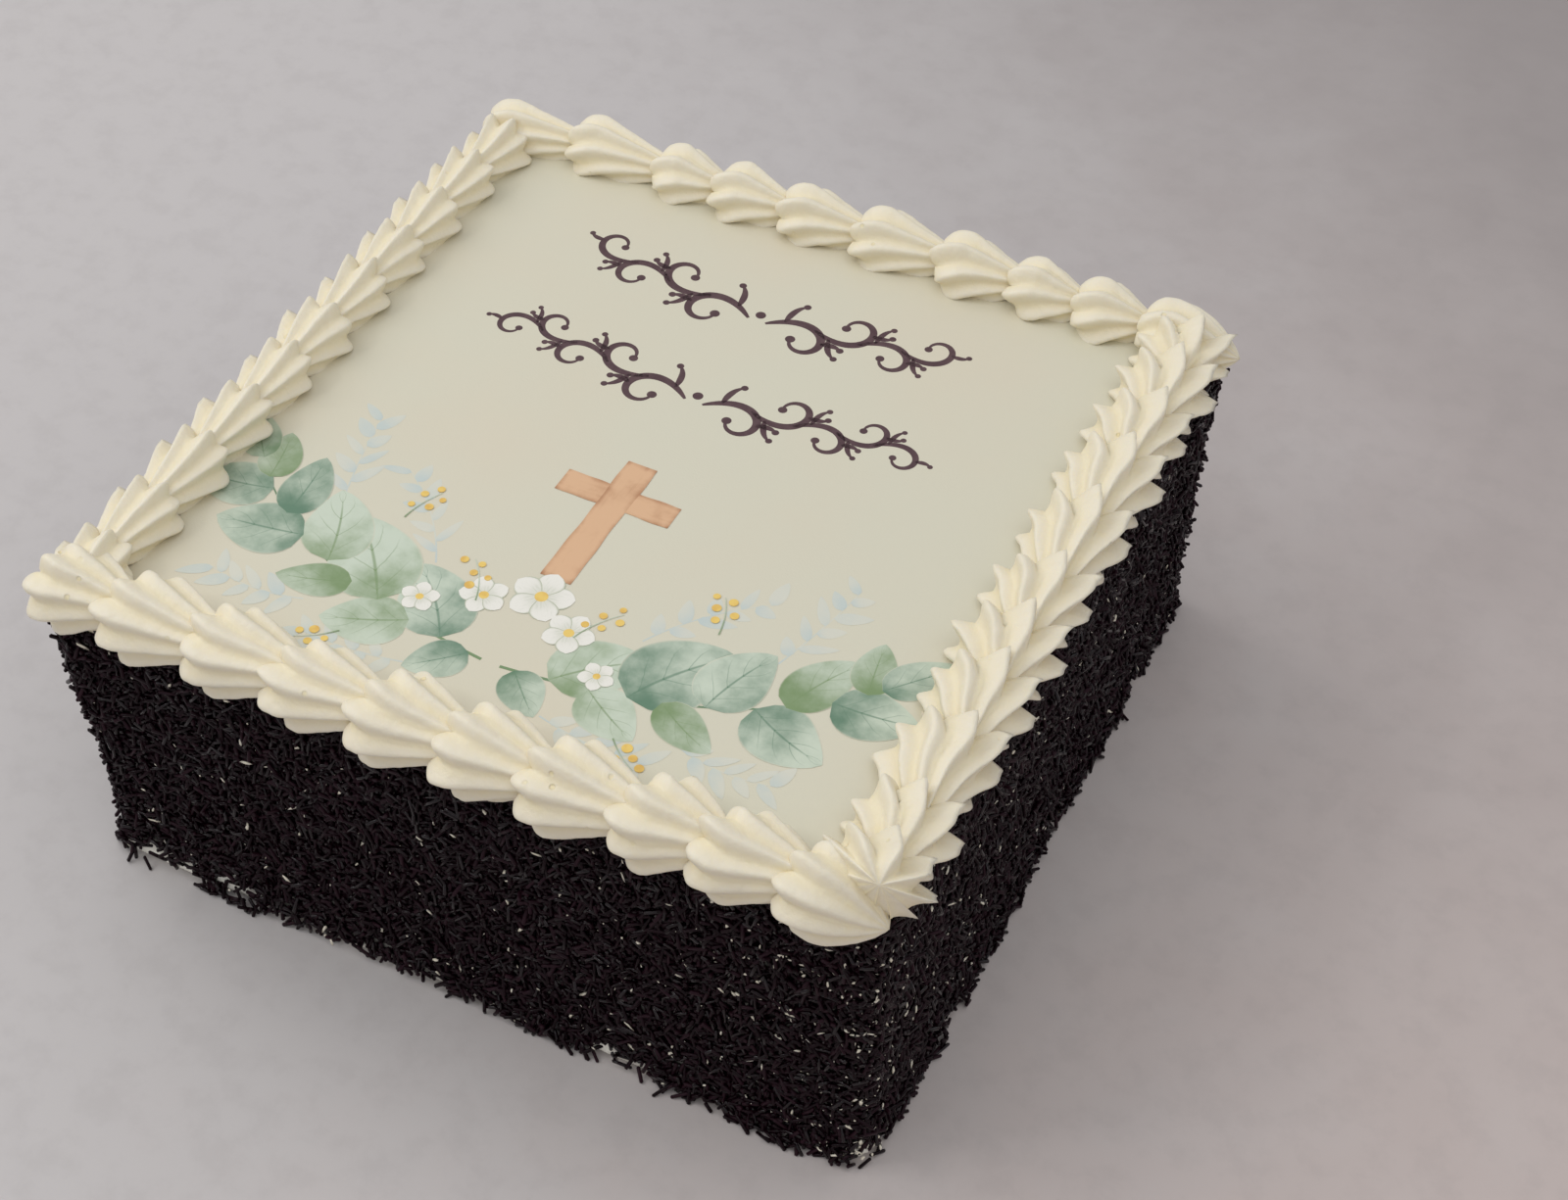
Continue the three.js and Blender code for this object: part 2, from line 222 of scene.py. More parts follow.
class Field:
    """A number that changes over a surface. An expression on it adds the Math nodes."""

    def __init__(self, finish, socket):
        self.finish = finish
        self.socket = socket

    def _math(self, operation, *terms):
        settings = {"operation": operation}
        return self.finish.field("ShaderNodeMath", settings, dict(enumerate(terms)))

    def __add__(self, other):
        return self._math("ADD", self, other)

    __radd__ = __add__

    def __sub__(self, other):
        return self._math("SUBTRACT", self, other)

    def __rsub__(self, other):
        return self._math("SUBTRACT", other, self)

    def __mul__(self, other):
        return self._math("MULTIPLY", self, other)

    __rmul__ = __mul__

    def __pow__(self, other):
        return self._math("POWER", self, other)

    def __abs__(self):
        return self._math("ABSOLUTE", self)

    def fraction(self):
        return self._math("FRACT", self)

    def between(self, low, high):
        """0 below low, 1 above high and a smooth ramp from one to the other."""
        settings = {"interpolation_type": "SMOOTHSTEP"}
        sockets = {"Value": self, "From Min": low, "From Max": high}
        return self.finish.field("ShaderNodeMapRange", settings, sockets)


PRINT_MAP = "print"  # the UV map of a printed shape
SHADER_SOCKETS = {
    "roughness": "Roughness", "specular": "Specular IOR Level", "subsurface": "Subsurface Weight",
    "subsurface_radius": "Subsurface Radius", "subsurface_scale": "Subsurface Scale",
    "coat_roughness": "Coat Roughness",
}


class Finish:
    """A material under construction. What is the same all over is set on the shader itself."""

    def __init__(self, name, **constants):
        self.material = bpy.data.materials.new(name)
        self.material.use_nodes = True
        self.tree = self.material.node_tree
        self.shader = self.tree.nodes["Principled BSDF"]
        for socket, value in constants.items():
            self.shader.inputs[SHADER_SOCKETS[socket]].default_value = value
        self.place = self.node("ShaderNodeTexCoord").outputs["Object"]

    def node(self, kind, settings=None, sockets=None):
        """Adds a node, with its settings first and then its sockets' values or links."""
        node = self.tree.nodes.new(kind)
        for name, value in (settings or {}).items():
            setattr(node, name, value)
        for name, value in (sockets or {}).items():
            self.feed(node.inputs[name], value)
        return node

    def feed(self, socket, value):
        source = value.socket if isinstance(value, Field) else value
        if isinstance(source, bpy.types.NodeSocket):
            self.tree.links.new(source, socket)
        else:
            socket.default_value = source

    def field(self, kind, settings=None, sockets=None, output=0):
        return Field(self, self.node(kind, settings, sockets).outputs[output])

    def noise(self, scale, detail=2.0, roughness=0.5, place=None):
        sockets = {
            "Vector": place or self.place, "Scale": scale, "Detail": detail, "Roughness": roughness}
        return self.field("ShaderNodeTexNoise", None, sockets)

    def pits(self, scale):
        """The distance to the nearest of many scattered points, in cells."""
        sockets = {"Vector": self.place, "Scale": scale}
        return self.field("ShaderNodeTexVoronoi", None, sockets)

    def attribute(self, name):
        return self.field("ShaderNodeAttribute", {"attribute_name": name}, None, "Fac")

    def uv(self):
        """The piece's own map, as the two Fields across and along it."""
        split = self.node("ShaderNodeSeparateXYZ", None, {0: self.uv_layer()})
        return Field(self, split.outputs[0]), Field(self, split.outputs[1])

    def uv_layer(self):
        return self.node("ShaderNodeUVMap", {"uv_map": PRINT_MAP}).outputs[0]

    def grain(self, across, along):
        """Noise that follows the piece's own map, with so many streaks across and along it."""
        sockets = {"Vector": self.uv_layer(), "Scale": (across, along, 1)}
        return self.noise(1, 3, 0.6, self.node("ShaderNodeMapping", None, sockets).outputs[0])

    def mix(self, factor, first, second):
        node = self.node("ShaderNodeMix", {"data_type": "RGBA"}, {0: factor, 6: first, 7: second})
        return node.outputs[2]

    def colour(self, value):
        self.feed(self.shader.inputs["Base Color"], value)

    def roughness(self, value):
        self.feed(self.shader.inputs["Roughness"], value)

    def gloss(self, value):
        self.feed(self.shader.inputs["Coat Weight"], value)

    def relief(self, height, depth):
        """Bumps of the given depth in metres, by a height Field of about 0 to 1."""
        bump = self.node("ShaderNodeBump", None, {"Height": height, "Distance": depth, "Strength": 1.0})
        self.feed(self.shader.inputs["Normal"], bump.outputs[0])


def deselect():
    bpy.ops.object.select_all(action="DESELECT")


def grid_piece(name, columns, rows):
    """A new flat grid of columns by rows faces, to be shaped, and its places as two arrays 0 to 1."""
    deselect()
    bpy.ops.mesh.primitive_grid_add(x_subdivisions=columns, y_subdivisions=rows, size=1)
    piece = bpy.context.object
    piece.name = name
    piece.data.name = name
    places = read_points(piece) + 0.5
    return piece, places[:, 0], places[:, 1]


def read_points(piece):
    points = np.zeros(len(piece.data.vertices) * 3)
    piece.data.vertices.foreach_get("co", points)
    return points.reshape(-1, 3)


def write_points(piece, points):
    piece.data.vertices.foreach_set("co", np.asarray(points, np.float32).ravel())
    piece.data.update()


def write_attribute(piece, name, values):
    attribute = piece.data.attributes.new(name, "FLOAT", "POINT")
    attribute.data.foreach_set("value", np.asarray(values, np.float32).ravel())


def new_piece(name, points, faces):
    """A new piece from its points and, for each face, the numbers of its points."""
    mesh = bpy.data.meshes.new(name)
    mesh.from_pydata(points.tolist(), [], faces.tolist())
    piece = bpy.data.objects.new(name, mesh)
    bpy.context.scene.collection.objects.link(piece)
    return piece


def taken_apart(piece):
    """A primitive's points and its faces as triangles. The primitive itself goes."""
    points = read_points(piece)
    faces = [list(face.vertices) for face in piece.data.polygons]
    triangles = [[f[0], f[i], f[i + 1]] for f in faces for i in range(1, len(f) - 1)]
    bpy.data.objects.remove(piece)
    return points, np.array(triangles)


def close_up(piece):
    """Merges the seam and the poles of a wrapped grid, and turns its faces outwards."""
    bpy.context.view_layer.objects.active = piece
    bpy.ops.object.mode_set(mode="EDIT")
    bpy.ops.mesh.select_all(action="SELECT")
    bpy.ops.mesh.remove_doubles(threshold=MERGE_DISTANCE)
    bpy.ops.mesh.normals_make_consistent(inside=False)
    bpy.ops.object.mode_set(mode="OBJECT")


def apply_modifier(piece, kind, **settings):
    bpy.context.view_layer.objects.active = piece
    modifier = piece.modifiers.new(kind.title(), kind)
    for name, value in settings.items():
        setattr(modifier, name, value)
    bpy.ops.object.modifier_apply(modifier=modifier.name)


def cloud_texture(name, scale):
    texture = bpy.data.textures.new(name, "CLOUDS")
    texture.noise_scale = scale
    texture.noise_depth = 1
    return texture


def finish_piece(piece, material, slot, *nodes, smooth=True):
    """Gives a finished piece its shading and its material, and puts it on the frame."""
    piece.data.materials.clear()
    piece.data.materials.append(material)
    piece.data.polygons.foreach_set("use_smooth", np.full(len(piece.data.polygons), smooth))
    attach(piece, BODY)
    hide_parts(*nodes)
    deselect()
    return piece


def turned(points, angle):
    """Points turned about the upright axis."""
    rotation = np.array(Matrix.Rotation(angle, 3, "Z"))
    return points @ rotation.T


def side_offset(height):
    """How far the side stands out at a height: a flare at the foot and a slight waist."""
    flare = BASE_FLARE * np.exp(-height / BASE_FLARE_HEIGHT)
    return flare - WAIST * np.sin(np.pi * height / CAKE_TOP)


def bulged(points):
    """Points of the cake's side, moved outwards near the corners that stand out."""
    moved = points.copy()
    for corner, size, low, high in CORNER_BULGES:
        apart = np.hypot(points[:, 0] - corner[0] * COAT_HALF, points[:, 1] - corner[1] * COAT_HALF)
        rise = np.clip((points[:, 2] - low) / (high - low), 0, 1)
        out = size * rise**2 * (3 - 2 * rise) * np.exp(-((apart / BULGE_REACH) ** 2))
        moved[:, :2] += out[:, None] * np.array(corner) / math.sqrt(2)
    return moved


def on_side(side, along, height, out):
    """Points on the rounded square, and their outward normals. along runs from the middle of a
    side, and goes round the corner at each end."""
    flat = COAT_HALF - CORNER_RADIUS
    past = np.maximum(np.abs(along) - flat, 0) / CORNER_RADIUS
    sign = np.sign(along)
    radius = CORNER_RADIUS + side_offset(height) + out
    x = sign * (np.minimum(np.abs(along), flat) + radius * np.sin(past))
    y = -flat - radius * np.cos(past)
    turn = side * math.pi / 2
    angle = sign * past - math.pi / 2 + turn
    normals = np.stack([np.cos(angle), np.sin(angle), np.zeros_like(angle)], -1)
    return bulged(turned(np.stack([x, y, height], -1), turn)), normals


# The cream coat


class CoatSettings(bpy.types.PropertyGroup):
    colour: tint("Cream", "Colour of the cream under the strands", linear(252, 248, 236))
    cell: distance("Cell", "Size of the faces of the coat", 2.6 * MM, 1 * MM)
    unevenness: distance("Unevenness", "Height of the lumps that the palette knife left", 1.4 * MM)


def coat_finish(settings):
    """Cream that shows in flecks, and painted shade everywhere else: the coat is painted near-black in the
    gaps between the strands.
    """
    finish = Finish("cream_coat", roughness=0.55)
    shade_noise = finish.noise(900, 3)
    # Painted shade: the gaps between the strands are painted near-black, two dark tones mixed by noise.
    gap = finish.mix(shade_noise, linear(8, 5, 6), linear(16, 11, 12))
    bare = finish.attribute("bare").between(0.05, 0.3)
    blotch = finish.noise(260, 2).between(0.52, 0.62) * 0.35
    finish.colour(finish.mix(bare + (1 - bare) * blotch, gap, tuple(settings.colour)))
    finish.relief(finish.noise(420, 3), 0.8 * MM)
    return finish.material


class CAKE_OT_coat(bpy.types.Operator):
    """Models the cake's body in its coat of cream"""

    bl_idname = "cake.coat"
    bl_label = "Cream Coat"

    def execute(self, context):
        settings = context.scene.cake_coat
        deselect()
        bpy.ops.mesh.primitive_cube_add(size=1, location=(0, 0, CAKE_TOP / 2))
        coat = bpy.context.object
        coat.name = "cream_coat"
        coat.scale = (2 * COAT_HALF, 2 * COAT_HALF, CAKE_TOP)
        bpy.ops.object.transform_apply(location=True, rotation=True, scale=True)
        self.round_corners(coat)
        apply_modifier(coat, "REMESH", mode="VOXEL", voxel_size=settings.cell)
        self.shape(coat)
        clouds = cloud_texture("coat_lumps", COAT_LUMP)
        apply_modifier(coat, "DISPLACE", texture=clouds, texture_coords="GLOBAL",
                       strength=settings.unevenness, mid_level=0.5)
        self.level(coat)
        write_attribute(coat, "bare", bareness(read_points(coat)))
        finish_piece(coat, coat_finish(settings), "chocolate_strands", "cake")
        return {"FINISHED"}

    def round_corners(self, coat):
        """Bevels the four upright edges."""
        mesh = coat.data
        for edge in mesh.edges:
            ends = [mesh.vertices[i].co for i in edge.vertices]
            edge.select = abs(ends[0].z - ends[1].z) > CAKE_TOP / 2
        bpy.ops.object.mode_set(mode="EDIT")
        bpy.ops.mesh.select_mode(type="EDGE")
        bpy.ops.mesh.bevel(offset=CORNER_RADIUS, segments=CORNER_FACES, affect="EDGES")
        bpy.ops.object.mode_set(mode="OBJECT")

    def shape(self, coat):
        """Gives the sides their flare and waist."""
        points = read_points(coat)
        reach = np.abs(points[:, :2]).max(1)
        out = side_offset(np.clip(points[:, 2], 0, CAKE_TOP))
        points[:, :2] *= (1 + out * (reach / COAT_HALF) ** 4 / COAT_HALF)[:, None]
        write_points(coat, bulged(points))

    def level(self, coat):
        """Keeps the top under the icing sheet and the foot on the ground."""
        points = read_points(coat)
        points[:, 2] = np.clip(points[:, 2], 0, CAKE_TOP)
        write_points(coat, points)


# The chocolate strands


MOST_STRANDS = 9900  # a side with more has over 200,000 triangles


class StrandSettings(bpy.types.PropertyGroup):
    count: number("Count", "Strands on each side of the cake", 9800, 1, MOST_STRANDS)
    sides: number("Sides", "Faces round a strand", 5, 3)
    radius: distance("Radius", "Radius of a strand of middling size", 0.59 * MM)
    shortest: distance("Shortest", "Length of the shortest strand", 3.6 * MM)
    longest: distance("Longest", "Length of the longest strand", 7.8 * MM)
    colour: tint("Chocolate", "Colour of the darkest strands", linear(18, 4, 9))
    dusty: tint("Dusty Chocolate", "Colour of the palest strands", linear(42, 20, 29))
    flecks: number("Flecks", "Flecks of cream squeezed out on each side", 430, 1)
    seed: number("Seed", "Start of the random draws", 11)


# Stretches of the foot where the cream shows between the strands: side, middle along it and up,
# width and height, in millimetres. Side 0 is the reader's side, and the others follow
# anticlockwise.
BARE_PATCHES = [
    (0, -113, 2, 34, 13), (0, -83, 6, 15, 8), (0, -29, 0, 98, 8), (0, 51, 1.5, 22, 9.5),
    (0, 81, 0, 12, 8), (0, 127, 3, 8, 10),
    (1, -122, 3, 10, 9), (1, -70, 2, 9, 6), (1, 12, 0, 40, 4.5), (1, 84, 2, 10, 6),
    (2, -104, 3, 14, 9), (2, -28, 0, 50, 4.5), (2, 61, 2, 16, 8),
    (3, -88, 3, 11, 8), (3, 2, 0, 60, 4.5), (3, 97, 4, 18, 8),
]
# Two waves that fray the patches' edges: height, rate along the side and start
PATCH_WAVES = [(0.4, 1.3, 0), (0.35, 0.43, 1)]
PATCH_MIDDLE = 1.1  # over 1, so that a patch is bare for some way round its middle
MOST_BARE = 0.96  # share of the strands that is missing in the middle of a patch
STRAND_DEPTH = 2.1 * MM  # of the layer of strands
SHALLOWEST = 0.05  # share of that depth
GIRTHS = (0.86, 1.18)  # of the thinnest and the thickest strand, beside the middling one
TILT_SPREAD = 0.38  # of the strands out of the side's plane, in radians
TILT_LIMITS = (-0.7, 1.0)
RIM_SHARE = 0.86  # how far along its half length a strand keeps its full girth
TOP_MARGIN = 2.5 * MM  # free of strands, under the top
# Loose clusters at the foot: how far they stick out, how high up, and their waves along it
TUFT_DEPTH = 2.6 * MM
TUFT_HEIGHT = 4 * MM
TUFT_WAVES = [(7.1, 0), (3.3, 1), (17, 2)]
SIDE_SHIFT = 40  # so that no two sides have the same tufts
# Where flecks of cream come thickest: the upright edge between the reader's side and the right
# side, as shares of the flecks on each of the four sides.
FLECKED_EDGE = [0.35, 0.35, 0.12, 0.12]
EDGE_SPREAD = 22 * MM
FLECK_HEIGHTS = (2 * MM, 104 * MM)
FLECK_DEPTHS = (1.4 * MM, 2.5 * MM)
FLECK_SIZE = 1.05 * MM
FLECK_SIZES = (0.25, 0.75)
SMALL_FLECKS = 1.7  # power that makes most of the flecks small
FLECK_LENGTHS = (1.2, 4.2)  # beside its width
FLECK_THICKNESSES = (0.4, 0.9)  # beside its width
FLECK_TILT = 0.3  # spread, in radians
FLECK_ROLLS = (-0.4, 0.4)  # in radians
FLECK_RAGGED = (0.5, 1.3)  # how far its points lie from its middle, beside an even shape


def side_of(points):
    """The side that each point is nearest to, and its place along that side."""
    x, y = points[:, 0], points[:, 1]
    across = np.stack([-y, x, y, -x])
    side = across.argmax(0)
    along = np.choose(side, [x, y, -x, -y])
    return side, along


def patch_cover(side, along, height):
    """1 in the middle of a bare patch, 0 outside all of them."""
    cover = np.zeros_like(along)
    for patch_side, middle, level, width, tall in BARE_PATCHES:
        across = (along / MM - middle) / (width / 2)
        up = (height / MM - level) / (tall / 2)
        ragged = sum(high * np.sin(along / MM * rate + start) for high, rate, start in PATCH_WAVES)
        inside = np.clip(PATCH_MIDDLE + ragged - across**4 - up**2, 0, 1)
        cover = np.maximum(cover, np.where(side == patch_side, inside, 0))
    return cover


def bareness(points):
    """How much of the patches at the foot each point of the coat is in."""
    side, along = side_of(points)
    return patch_cover(side, along, points[:, 2])


def tufts(side, along, height):
    """How far the strands at the foot stick out in loose clusters."""
    place = along / MM + SIDE_SHIFT * side
    wave = sum(np.sin(place / long + start) for long, start in TUFT_WAVES)
    loose = np.clip(wave / 2, 0, 1) * (1 - patch_cover(side, along, height))
    return TUFT_DEPTH * loose * np.exp(-height / TUFT_HEIGHT)


def model_strand(settings):
    """One strand of unit radius along X, with pointed ends, from a cylinder."""
    deselect()
    bpy.ops.mesh.primitive_cylinder_add(
        vertices=settings.sides, radius=1, depth=1, end_fill_type="TRIFAN",
        rotation=(0, math.pi / 2, 0))
    bpy.ops.object.transform_apply(rotation=True)
    points, triangles = taken_apart(bpy.context.object)
    is_rim = np.hypot(points[:, 1], points[:, 2]) > 0.5
    points[is_rim, 0] *= RIM_SHARE
    return points, triangles


def rotations(heading, tilt, roll, normals):
    """Frames whose X is the strand's own axis: turned by heading in the plane of the side and
    tilted out of it."""
    up = np.array([0.0, 0.0, 1.0])
    level = np.cross(up, normals)
    flat = level * np.cos(heading)[:, None] + up * np.sin(heading)[:, None]
    axis = flat * np.cos(tilt)[:, None] + normals * np.sin(tilt)[:, None]
    first = np.cross(axis, flat * np.sin(tilt)[:, None] * -1 + normals * np.cos(tilt)[:, None])
    second = np.cross(axis, first)
    across = first * np.cos(roll)[:, None] + second * np.sin(roll)[:, None]
    return np.stack([axis, across, np.cross(axis, across)], -1)


def joined_copies(name, points, triangles, frames, places, tones):
    """One mesh with a copy of the same small shape in each frame, and a tone for each copy."""
    copies = np.einsum("nij,nkj->nki", frames, points) + places[:, None, :]
    faces = triangles[None] + np.arange(len(places))[:, None, None] * points.shape[1]
    piece = new_piece(name, copies.reshape(-1, 3), faces.reshape(-1, 3))
    write_attribute(piece, "tone", np.repeat(tones, points.shape[1]))
    return piece


def strand_finish(settings):
    finish = Finish("chocolate_strands", specular=0.13, coat_roughness=0.12)
    tone = finish.attribute("tone")
    bloom = finish.noise(1500, 2)
    dusty = finish.mix(tone * tone, tuple(settings.colour), tuple(settings.dusty))
    finish.colour(finish.mix(bloom.between(0.55, 0.8) * 0.35, dusty, linear(50, 29, 36)))
    finish.roughness(0.12 + 0.3 * tone)
    finish.gloss((1 - tone.between(0.01, 0.05)) * 0.5)
    finish.relief(finish.noise(1400, 2), 0.03 * MM)
    return finish.material


class CAKE_OT_strands(bpy.types.Operator):
    """Covers the four sides of the coat with chocolate strands"""

    bl_idname = "cake.strands"
    bl_label = "Chocolate Strands"

    def execute(self, context):
        settings = context.scene.cake_strands
        material = strand_finish(settings)
        points, triangles = model_strand(settings)
        for side in range(len(SIDES)):
            self.cover(side, settings, points, triangles, material)
        return {"FINISHED"}

    def cover(self, side, settings, points, triangles, material):
        draw = np.random.default_rng(settings.seed + side)
        along, height = self.scatter(draw, settings.count)
        bare = np.clip(2 * patch_cover(np.full(len(along), side), along, height), 0, MOST_BARE)
        keep = draw.random(len(along)) > bare
        along, height = along[keep], height[keep]
        count = len(along)
        length = draw.uniform(settings.shortest, settings.longest, count)
        radius = settings.radius * draw.uniform(*GIRTHS, count)
        depth = draw.uniform(SHALLOWEST, 1, count) * (STRAND_DEPTH + tufts(side, along, height))
        places, normals = on_side(side, along, height, depth)
        tilt = np.clip(draw.normal(0, TILT_SPREAD, count), *TILT_LIMITS)
        frames = rotations(draw.uniform(0, np.pi, count), tilt, draw.uniform(0, np.pi, count), normals)
        sized = points[None] * np.stack([length, radius, radius], -1)[:, None, :]
        lowest = np.einsum("nj,nkj->nk", frames[:, 2], sized).min(1)
        places[:, 2] = np.maximum(places[:, 2], -lowest)
        tones = draw.random(count) ** 2
        strands = joined_copies("strands_" + SIDES[side], sized, triangles, frames, places, tones)
        finish_piece(strands, material, "chocolate_strands", "cake")

    def scatter(self, draw, count):
        """Places spread evenly over a side, one in each cell of a grid and shaken."""
        width = 2 * (COAT_HALF - CORNER_RADIUS) + CORNER_RADIUS * math.pi / 2
        tall = CAKE_TOP - TOP_MARGIN
        columns = round(math.sqrt(count * width / tall))
        rows = count // columns
        column, row = np.meshgrid(np.arange(columns), np.arange(rows))
        along = (column.ravel() + draw.random(columns * rows)) / columns - 0.5
        height = (row.ravel() + draw.random(columns * rows)) / rows
        return along * width, height * tall


class CAKE_OT_flecks(bpy.types.Operator):
    """Adds the flecks of cream that are squeezed out between the strands"""

    bl_idname = "cake.flecks"
    bl_label = "Cream Flecks"

    def execute(self, context):
        settings = context.scene.cake_strands
        draw = np.random.default_rng(settings.seed + len(SIDES))
        deselect()
        bpy.ops.mesh.primitive_ico_sphere_add(subdivisions=1, radius=1)
        points, triangles = taken_apart(bpy.context.object)
        spots = [self.scatter(draw, side, settings.flecks) for side in range(len(SIDES))]
        places, frames, sizes = (np.concatenate(parts) for parts in zip(*spots))
        ragged = draw.uniform(*FLECK_RAGGED, (len(places), len(points), 1))
        sized = points[None] * ragged * sizes[:, None, :]
        tones = draw.random(len(places))
        flecks = joined_copies("cream_flecks", sized, triangles, frames, places, tones)
        material = cream_finish("cream_flecks", context.scene.cake_border)
        finish_piece(flecks, material, "piped_cream", "cake")
        return {"FINISHED"}

    def scatter(self, draw, side, count):
        half = COAT_HALF
        near = draw.random(count) < FLECKED_EDGE[side]
        edge = half if side == 0 else -half
        along = np.where(near, edge - np.sign(edge) * draw.exponential(EDGE_SPREAD, count),
                         draw.uniform(-half, half, count))
        along = np.clip(along, -half, half)
        height = draw.uniform(*FLECK_HEIGHTS, count)
        places, normals = on_side(side, along, height, draw.uniform(*FLECK_DEPTHS, count))
        frames = rotations(draw.uniform(0, np.pi, count), draw.normal(0, FLECK_TILT, count),
                           draw.uniform(*FLECK_ROLLS, count), normals)
        size = draw.uniform(*FLECK_SIZES, count) ** SMALL_FLECKS * FLECK_SIZE
        long = size * draw.uniform(*FLECK_LENGTHS, count)
        sizes = np.stack([long, size, size * draw.uniform(*FLECK_THICKNESSES, count)], -1)
        return places, frames, sizes


# The piped border


class BorderSettings(bpy.types.PropertyGroup):
    columns: number("Columns", "Faces across each ridge", 12, 4)
    rows: number("Rows", "Faces along each shell", 48, 8)
    flute_depth: FloatProperty(
        name="Flute Depth", description="Depth of the furrows, beside that of the photographed cake",
        default=1.0, min=0, max=2, subtype="FACTOR")
    colour: tint("Cream", "Colour of the cream on the crests", linear(237, 228, 206))
    # Painted shade: the furrow colour is the cream drawn yellower in the furrows and pits, where shade
    # falls.
    furrow_shade_colour: tint("Furrow Shade", "Painted shade of the cream in the furrows and pits",
                        linear(240, 226, 184))
    seed: number("Seed", "Start of the random draws", 5)


def cream_finish(name, settings):
    """Whipped cream: satin, with yellowish streaks and small burst bubbles, and painted shade that makes it
    a little yellower in the furrows and in the bubbles' pits.
    """
    finish = Finish(name, roughness=0.46, subsurface=0.15, subsurface_radius=(1.0, 0.85, 0.55),
                    subsurface_scale=3 * MM)
    furrow = finish.attribute("furrow")
    streak = finish.noise(240, 3)
    bubble = finish.pits(150)
    pit = (1 - bubble.between(0.07, 0.16)) * finish.noise(55, 2).between(0.55, 0.66)
    # Painted shade: yellower deep in the furrows and in the pits; the streaks are the cream's own uneven
    # tone.
    yellow = (furrow ** 2) * 0.55 + streak.between(0.5, 0.8) * 0.18 + pit * 0.8
    finish.colour(finish.mix(yellow, tuple(settings.colour), tuple(settings.furrow_shade_colour)))
    finish.relief(finish.noise(700, 4) * 0.35 + streak * 0.4 - pit * 0.6, 0.55 * MM)
    return finish.material


def swell(s, shell, outward):
    """Three shares of the full radius along a shell: its bluff head, its taper and its closing."""
    back = np.clip(1 - s / (shell["head"] * (1 - TEETH_BLUFF * outward)), 0, 1)
    head = (1 - back ** shell["bluff"]) ** (1 / shell["bluff"])
    run = np.clip((s - shell["head"]) / (shell["covered"] - shell["head"]), 0, None)
    taper = np.maximum(1 - (1 - shell["tail"]) * run ** shell["taper"], TIP_SHARE)
    past = np.clip(1 - (shell["length"] - s) / (TIP_END if shell["tip"] else TAIL_END), 0, 1)
    return head, taper, np.sqrt(1 - past**2)


def ridge_profile(place, shell, outward):
    """How deep in a furrow each place across the ridges is, from 0 on a crest to 1, and how far
    from the crest it is. Crests lean over to the outside."""
    off = place - np.round(place)
    between = 2 * np.abs(off + shell["outside"] * shell["skew"] * (0.25 - off**2))
    crisp = np.maximum(shell["crisp"], outward * (1 - OUTER_ROUNDNESS))
    soft = (1 - np.cos(np.pi * between)) / 2
    return crisp * (1 - (1 - between) ** CREST_POWER) + (1 - crisp) * soft, between


def seeded(seed):
    """The part's own generator of numbers from 0 to 1, so that each shell is as large as its solid."""
    state = seed
    while True:
        state = (state + 0x6D2B79F5) % 2**32
        mixed = (state ^ (state >> 15)) * (state | 1) % 2**32
        mixed ^= (mixed + (mixed ^ (mixed >> 7)) * (mixed | 61)) % 2**32
        yield ((mixed ^ (mixed >> 14)) % 2**32) / 2**32


def list_shells():
    """Every shell's place and sizes, in the order of piping."""
    draws = seeded(SHELL_SEED)
    shells = []
    for measures in RUNS:
        run = dict(measures)
        run.update({key: measures[key] * MM for key in RUN_LENGTHS})
        run.update({key: [item * MM for item in measures[key]] for key in RUN_LISTS})
        run["turn"], run["lean"] = math.radians(run["turn"]), math.radians(run["lean"])
        run["outside"] = math.copysign(1, run["centre"])
        start = run["start"]
        for i, step in enumerate([*run["steps"], 0]):
            is_last = i == len(run["steps"])
            size = 1 + SIZE_JITTER * (2 * next(draws) - 1)
            length = run["end"] - start if is_last else step + TUCK
            shells.append({
                **run,
                "node": f"shell_{run['name']}_{i + 1:02d}",
                "start": start,
                "length": length,
                "covered": length if is_last else step,
                "width": run["width"] * size,
                "height": run["height"] * size,
                "lag": run["lag"] * min(1, length / FULL_LAG_LENGTH),
                "tail": TIP_SHARE if is_last else run["tail"],
                "taper": LAST_TAPER_POWER if is_last else TAPER_POWER,
                "tip": run["tip"] if is_last else None,
                "dip": run["dip"] if i == 0 else [0, 0],
            })
            start += step
    return shells


def ridge_ends(shell, around, from_lean, between, outward, inward):
    """How far behind the foremost one each ridge ends, and each place between two of them."""
    gain, loss = CRISP_POINT
    rounded = 1 - np.sqrt(np.clip(1 - between**2, 0, 1))
    pointed = np.maximum(outward * (1 - OUTER_ROUNDNESS), np.clip(gain * shell["crisp"] - loss, 0, 1))
    reach = (1 + OUTER_REACH * outward) * (1 - INNER_TUCK * inward)
    nose = shell["nose"] * reach * (rounded + pointed * (between - rounded))
    crest_lag = 1 - np.cos(2 * np.pi * np.round(around * FLUTES) / FLUTES - shell["lean"])
    even_lag = 1 - np.cos(from_lean)
    return shell["lag"] * (even_lag + (crest_lag - even_lag) * (1 - between**2)) + nose


